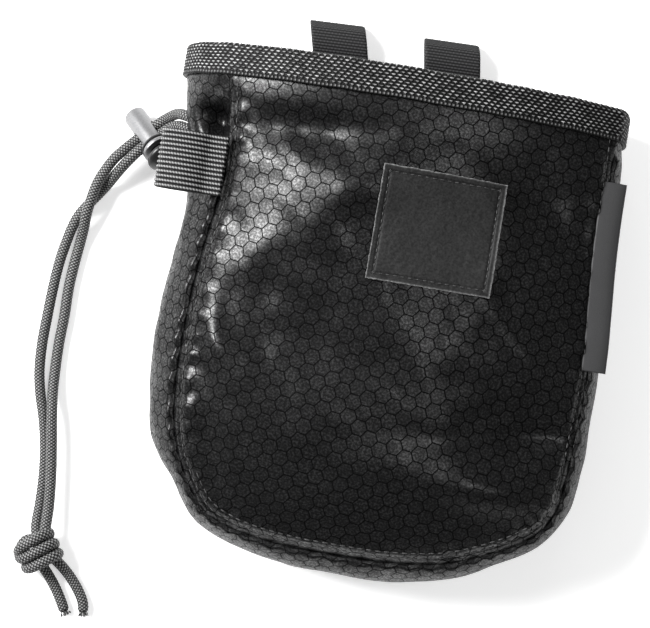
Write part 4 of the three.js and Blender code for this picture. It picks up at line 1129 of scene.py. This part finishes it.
def makePatch(material, front):
    look = patchLook
    columns, rows = (int(look[side] / look["spacing"]) for side in ("width", "height"))
    x = look["left"] + np.linspace(0, look["width"], columns + 1)
    y = bagSize["mouthTop"] - look["top"] - np.linspace(0, look["height"], rows + 1)
    gy, gx = np.meshgrid(y, x, indexing="ij")
    edge = np.minimum(np.minimum(gx - x[0], x[-1] - gx), np.minimum(y[0] - gy, gy - y[-1]))
    fray = 0.05 * bumps(gx, gy, 0.7, 51) + 0.05 * bumps(gx, gy, 0.4, 52)
    fray = fray * bell(edge, 0.8) * 2
    gx, gy = gx + fray, gy + fray
    base = softenGrid(heightOver(front, gx, gy), look["soften"])
    groove = bell(edge - look["stitchIn"], 0.45)
    lip = bell(edge, look["edgeWidth"]) + 0.35 * bell(edge - 1.2, 0.7)
    z = base + look["over"] + look["edgeRise"] * lip - look["stitchDip"] * groove
    z = z + look["weave"] * bumps(gx, gy, 1.2, 53)
    points = np.stack([gx, gy, z + look["cloth"] * 0.7], -1)
    inner = np.stack([gx, gy, base - look["under"]], -1)
    # Painted highlight: a speckled light band along the patch's raised edges, through the lift.
    lift = bell(edge, 0.28) * (0.3 + 0.7 * np.abs(bumps(gx, gy, 0.6, 54)))
    piece = makeShell("frontPatch", points, inner, material, lift=lift)
    finishPiece(piece, "patch", "front_patch")
    return points


def softenGrid(values, times):
    for _ in range(times):
        padded = np.pad(values, 1, mode="edge")
        around = padded[2:, 1:-1] + padded[:-2, 1:-1] + padded[1:-1, 2:] + padded[1:-1, :-2]
        values = 0.5 * values + 0.125 * around
    return values


labelLook = {
    "length": 64.5, "reach": 5.3, "top": 25.0, "cloth": 1.0, "slope": 0.34, "rows": 160, "columns": 26,
    "beside": 0.35, "above": 0.7, "sewnIn": 3.2, "sewnDown": 1.5,  # place off the seam, and the root in it
    "foldFrom": 0.86, "foldLong": 0.14, "wave": 0.22, "waveLong": 9, "grain": 0.05, "grainLong": 0.42,
}


def makeLabel(material, seam):
    look = labelLook
    y = bagSize["mouthTop"] - look["top"] - np.linspace(0, look["length"], look["rows"])
    root = np.stack([np.interp(-y, -seam[:, 1], seam[:, axis]) for axis in range(3)], -1)
    share = np.linspace(0, 1, look["columns"])
    out = look["reach"] * share
    sewn = (1 - share) ** 3
    wave = look["wave"] * np.sin(y / look["waveLong"])[:, None] * share
    x = root[:, :1] + look["beside"] + out - look["sewnIn"] * sewn
    z = root[:, 2:] + look["above"] - look["slope"] * out + wave - look["sewnDown"] * sewn
    points = np.stack([x, np.broadcast_to(y[:, None], x.shape), z], -1)
    fold = np.sqrt(np.clip(1 - ((share - look["foldFrom"]) / look["foldLong"]).clip(0, 1) ** 2, 0, 1))
    thick = 0.5 * look["cloth"] * (fold + 0.15)
    grain = look["grain"] * np.sin(y / look["grainLong"] * 2 * math.pi)[:, None]
    outer, inner = points.copy(), points.copy()
    outer[..., 2] += thick
    outer[..., 2] += grain
    inner[..., 2] -= thick
    piece = makeShell("sideLabel", outer, inner, material, lift=np.zeros(x.shape))
    finishPiece(piece, "label", "side_label")


lockLook = {
    "barrel": 8.2, "length": 19.5, "wall": 0.8, "flange": 11.4, "flangeThick": 1.5, "ring": 1.0, "head": 12.2,
    "headThick": 2.8, "travel": 2.2, "fit": 0.35, "floor": 2.4, "sides": 96, "sharp": 40.0,
}


# A round piece about the lock's axis, from (radius, along) points. A slot across it lets the cord through.
def lathed(name, profile, material, body, slot, node, slotSpan=None):
    look = lockLook
    axis, out = lockDirections()
    side = np.cross(axis, out)
    angle = np.arange(look["sides"]) / look["sides"] * 2 * math.pi
    radius, along = np.array(profile, float).T
    rings = (np.cos(angle)[None, :, None] * side + np.sin(angle)[None, :, None] * out) * radius[:, None, None]
    rings = rings + along[:, None, None] * axis + np.array(cordFacts["lockEnd"])
    if np.allclose(profile[0], profile[-1]):
        piece = makeRing(name, rings[:-1], material)
    else:
        piece = makeTube(name, rings[1:-1], material, caps=(rings[0].mean(0), rings[-1].mean(0)))
    if slotSpan:
        cutSlot(piece, slotSpan, axis, out, side)
    setSharp(piece)
    finishPiece(piece, slot, node, body=body)


def setSharp(piece):
    shadeSmooth(piece.data)
    piece.data.set_sharp_from_angle(angle=math.radians(lockLook["sharp"]))


def cutSlot(piece, span, axis, out, side):
    start, end = span
    half = cordFacts["diameter"] / 2 + lockLook["fit"]
    arc = np.linspace(0, math.pi, 17)
    outline = [(half * math.cos(t), end - half + half * math.sin(t)) for t in arc]
    outline += [(-half * math.cos(t), start + half - half * math.sin(t)) for t in arc]
    outline = np.array(outline)
    base = outline[:, :1] * side + outline[:, 1:] * axis + np.array(cordFacts["lockEnd"])
    rings = np.stack([base + out * 9, base - out * 9])
    cutter = makeTube("slotCutter", rings, piece.data.materials[0])
    cutAway(piece, cutter)


def makeLock(steel, plastic):
    look = lockLook
    outer, bore = look["barrel"] / 2, look["barrel"] / 2 - look["wall"]
    end, flange = look["length"], look["flange"] / 2
    flangeStart = end - look["flangeThick"]
    first = cordFacts["firstCord"] - cordFacts["diameter"] / 2 - look["fit"]
    last = cordFacts["firstCord"] + cordFacts["spacing"] + cordFacts["diameter"] / 2 + look["fit"]
    lathed("lockBarrel", [
        (0, 0), (outer - 1.0, 0), (outer - 0.5, 0.14), (outer - 0.14, 0.5), (outer, 1.0),
        (outer, flangeStart),
        (flange - 0.35, flangeStart), (flange - 0.1, flangeStart + 0.1), (flange, flangeStart + 0.4),
        (flange, end - 0.4), (flange - 0.12, end - 0.12), (flange - 0.4, end), (bore, end),
        (bore, look["floor"]), (0, look["floor"])], steel, "bag", "lock_metal", "lock_barrel", (first, last))
    ringEnd = flangeStart - look["fit"]
    ringStart = ringEnd - look["ring"]
    inside = outer + look["fit"]
    lathed("lockRing", [
        (inside, ringStart), (flange - 0.4, ringStart), (flange - 0.1, ringStart + 0.12),
        (flange, ringStart + 0.4), (flange, ringEnd - 0.3), (flange - 0.3, ringEnd), (inside, ringEnd),
        (inside, ringStart)],
        plastic, "bag", "lock_black", "lock_ring")
    stem = bore - look["fit"]
    stemStart = look["floor"] + look["travel"] + look["fit"]
    headStart = end + look["travel"] + look["fit"]
    head = look["head"] / 2
    lathed("lockPlunger", [
        (0, stemStart), (stem, stemStart), (stem, headStart), (head - 0.5, headStart),
        (head - 0.14, headStart + 0.14), (head, headStart + 0.5),
        (head, headStart + 1.1), (head - 0.15, headStart + 1.5), (head - 0.6, headStart + 1.95),
        (head * 0.6, headStart + look["headThick"] - 0.15), (0, headStart + look["headThick"])],
        plastic, "plunger", "lock_black", "lock_plunger", (first, last + look["travel"]))


stitchLook = {
    "pitch": 3.0, "length": 2.1, "thread": 0.46, "proud": 0.12,  # mm
    "seamIn": 2.5, "secondIn": 4.6, "secondBelow": -58.0,  # rows inside the seam, one at the bottom only
    "patchPitch": 2.4, "patchLength": 1.6, "patchThread": 0.36,
}


def stitchTree(material):
    tree, start, end = newGroup(
        "stitchRow", "GeometryNodeTree",
        {"Geometry": "Geometry", "Pitch": "Float", "Length": "Float", "Thread": "Float"},
        {"Geometry": "Geometry"})
    line = addNode(tree, "GeometryNodeMeshToCurve", {"Mesh": start["Geometry"]})
    points = addNode(tree, "GeometryNodeResampleCurve",
                     {"Curve": line.outputs["Curve"], "Length": start["Pitch"]}, mode="LENGTH")
    stitch = addNode(tree, "GeometryNodeMeshUVSphere", {"Segments": 8, "Rings": 5, "Radius": 0.5})
    size = addNode(tree, "ShaderNodeCombineXYZ",
                   {"X": start["Length"], "Y": start["Thread"], "Z": start["Thread"]})
    tangent = addNode(tree, "GeometryNodeInputTangent")
    up = addNode(tree, "GeometryNodeInputNamedAttribute", {"Name": "up"}, data_type="FLOAT_VECTOR")
    turn = addNode(tree, "FunctionNodeAxesToRotation",
                   {0: tangent.outputs["Tangent"], 1: up.outputs["Attribute"]},
                   primary_axis="X", secondary_axis="Z")
    placed = addNode(tree, "GeometryNodeInstanceOnPoints", {
        "Points": points.outputs["Curve"], "Instance": stitch.outputs["Mesh"],
        "Rotation": turn.outputs["Rotation"], "Scale": size.outputs["Vector"]})
    real = addNode(tree, "GeometryNodeRealizeInstances", {"Geometry": placed.outputs["Instances"]})
    painted = addNode(tree, "GeometryNodeSetMaterial",
                      {"Geometry": real.outputs["Geometry"], "Material": material})
    tree.links.new(painted.outputs["Geometry"], end["Geometry"])
    return tree


# Rows of stitches along lines of points, each with its direction away from the cloth.
def makeStitches(name, rows, tree, slot, pitch, length, thread):
    points, edges, ups = [], [], []
    for line, up in rows:
        base = len(points)
        points.extend((line * mm).tolist())
        ups.extend(up.tolist())
        edges.extend((base + place, base + place + 1) for place in range(len(line) - 1))
    mesh = bpy.data.meshes.new(name)
    mesh.from_pydata(points, edges, [])
    layer = mesh.attributes.new("up", "FLOAT_VECTOR", "POINT")
    layer.data.foreach_set("vector", np.array(ups, np.float32).ravel())
    piece = addObject(name, mesh)
    modifier = piece.modifiers.new("stitchRow", "NODES")
    modifier.node_group = tree
    sizes = {"Pitch": pitch, "Length": length, "Thread": thread}
    for socket in tree.interface.items_tree:
        if socket.item_type == "SOCKET" and socket.in_out == "INPUT" and socket.name in sizes:
            modifier[socket.identifier] = sizes[socket.name] * mm
    bakeModifiers(piece)
    shadeSmooth(piece.data)
    finishPiece(piece, slot)


# The front panel's seam in the flat, from the mouth round the bottom, moved inside by a distance.
def seamRow(inset):
    section = sectionAt(bagPlaces(1.0))
    left, right = (seamLine(section, side)[0][:, :2] for side in ("left", "right"))
    bottom = np.linspace(left[-1], right[-1], 30)[1:-1]
    line = evenly(np.vstack([left, bottom, right[::-1]]), 0.8)
    for _ in range(20):
        line[1:-1] = 0.25 * line[:-2] + 0.5 * line[1:-1] + 0.25 * line[2:]
    ahead = unit(np.gradient(line, axis=0))
    row = line + np.stack([-ahead[:, 1], ahead[:, 0]], -1) * inset
    return row[row[:, 1] < bagSize["mouthTop"] - bindingLook["height"]]


def patchRow():
    look, inset = patchLook, patchLook["stitchIn"]
    left, right = look["left"] + inset, look["left"] + look["width"] - inset
    top = bagSize["mouthTop"] - look["top"] - inset
    bottom = bagSize["mouthTop"] - look["top"] - look["height"] + inset
    corners = np.array([(left, top), (right, top), (right, bottom), (left, bottom), (left, top)])
    return [evenly(corners[place:place + 2], 0.8) for place in range(4)]


def makeSeamStitches(front, patch, material):
    look = stitchLook
    tree = stitchTree(material)
    second = seamRow(look["secondIn"])
    rows = [seamRow(look["seamIn"]), second[second[:, 1] < look["secondBelow"]]]
    makeStitches("seamStitches", [lineOn(front, row, look["proud"]) for row in rows], tree, "hem",
                 look["pitch"], look["length"], look["thread"])
    makeStitches("patchStitches", [lineOn(patch, row, look["proud"]) for row in patchRow()], tree, "patch",
                 look["patchPitch"], look["patchLength"], look["patchThread"])


frayLook = {"fibres": 26, "length": 1.4, "piece": 1.1, "thread": 0.34, "spread": 0.6, "seed": 61}


# Loose fibres at the two cut ends of the drawcord.
def makeFray(material):
    look = frayLook
    chance = np.random.default_rng(look["seed"])
    rows = []
    for name in ("a", "b"):
        line = cordLine(name)
        ahead, normal, side = (vectors[-1] for vectors in frames(line))
        for _ in range(look["fibres"]):
            turn, away = chance.random() * 2 * math.pi, 1.3 * math.sqrt(chance.random())
            outward = normal * math.cos(turn) + side * math.sin(turn)
            start = line[-1] - ahead * 0.5 + outward * away
            end = start + unit(ahead + outward * look["spread"] * chance.random()) * look["length"]
            fibre = np.linspace(start, end, 3)
            fibre[:, 2] = np.maximum(fibre[:, 2], look["thread"])
            rows.append((fibre, np.tile(outward + 0.1 * side, (3, 1))))
    makeStitches("frayedEnds", rows, stitchTree(material), "cord",
                 look["length"] / 2, look["piece"], look["thread"])


# A line on a panel, from its points in the flat, set just proud of the cloth.
def lineOn(points, flat, proud):
    z = heightOver(points, flat[:, 0], flat[:, 1])
    line = np.stack([flat[:, 0], flat[:, 1], z + proud], -1)
    ahead = unit(np.gradient(line, axis=0))
    side = unit(np.cross(ahead, np.array([0, 0, 1.0])))
    return line, unit(np.cross(side, ahead))


addCamera()
addLamps()
threadGrain = threadGrainGroup()
honeycomb = honeycombGroup()
ripstop = ripstopMaterial()
# Each woven material: a painted shade colour for the gaps, the threads' colour, then a painted highlight
# colour for the tips.
cordCloth = wovenMaterial("braidedCord", grey(0.0006), grey(0.008), grey(0.40), 0.5, 0.25)
bindingCloth = wovenMaterial("bindingWeave", grey(0.0004), grey(0.005), grey(0.62), 0.5, 0.3)
webbing = wovenMaterial("greyWebbing", grey(0.002), (0.015, 0.015, 0.016), grey(0.065), 0.6, 0.3)
elastic = wovenMaterial("ribbedElastic", grey(0.0006), grey(0.012), grey(0.36), 0.5, 0.25)
patchCloth = labelMaterial("patchSatin", grey(0.001), grey(0.016), 0.6, 0.75, 0.10)
labelCloth = labelMaterial("labelRibbon", (0.024, 0.024, 0.025), (0.036, 0.036, 0.037), 0.5, 0.2, 0.04)
threadCloth = labelMaterial("sewingThread", grey(0.012), grey(0.110), 0.45, 0.3, 0.05)
steel = hardMaterial("brushedSteel", 0.5, 0.6, (0.22, 0.22, 0.225), (0.34, 0.34, 0.345), 0.42, 0.08, 1.0)
plastic = hardMaterial("blackPlastic", 0.6, 0.5, grey(0.006), (0.016, 0.016, 0.017), 0.32, 0.12, 0.0)
print("camera, lights and materials")

for cordName in ("a", "b"):
    makeCord(cordName, cordCloth)
front = makeFrontPanel(ripstop)
print("front panel")
gusset = makeGusset(ripstop)
makeBackPanel(ripstop, gusset)
print("gusset and back panel")
makeBinding(bindingCloth)
makeHem(ripstop)
print("binding and hem")
makeBeltLoops(webbing)
leftSeam, _ = seamLine(sectionAt(bagPlaces(1.0)), "left")
rightSeam, _ = seamLine(sectionAt(bagPlaces(1.0)), "right")
brushTop = bagSize["mouthTop"] - brushLook["top"]
brushEdges = -np.array([brushTop, brushTop - brushLook["width"]])
rootX = min(np.interp(brushEdges, -leftSeam[:, 1], leftSeam[:, 0]))
rootZ = max(np.interp(brushEdges, -leftSeam[:, 1], leftSeam[:, 2]))
makeBrushLoop(elastic, (rootX, rootZ))
patch = makePatch(patchCloth, front)
makeLabel(labelCloth, rightSeam)
print("loops, patch and label")
makeSeamStitches(front, patch, threadCloth)
makeFray(threadCloth)
print("stitches and loose fibres")
makeLock(steel, plastic)
print("cord lock")

floorMesh = bpy.data.meshes.new("floor")
half = floorLook["half"] * mm
floorCorners = [(x * half, y * half, 0) for x, y in ((-1, -1), (1, -1), (1, 1), (-1, 1))]
floorMesh.from_pydata(floorCorners, [], [(0, 1, 2, 3)])
floorMesh.materials.append(floorMaterial())
floor = addObject("floor", floorMesh)
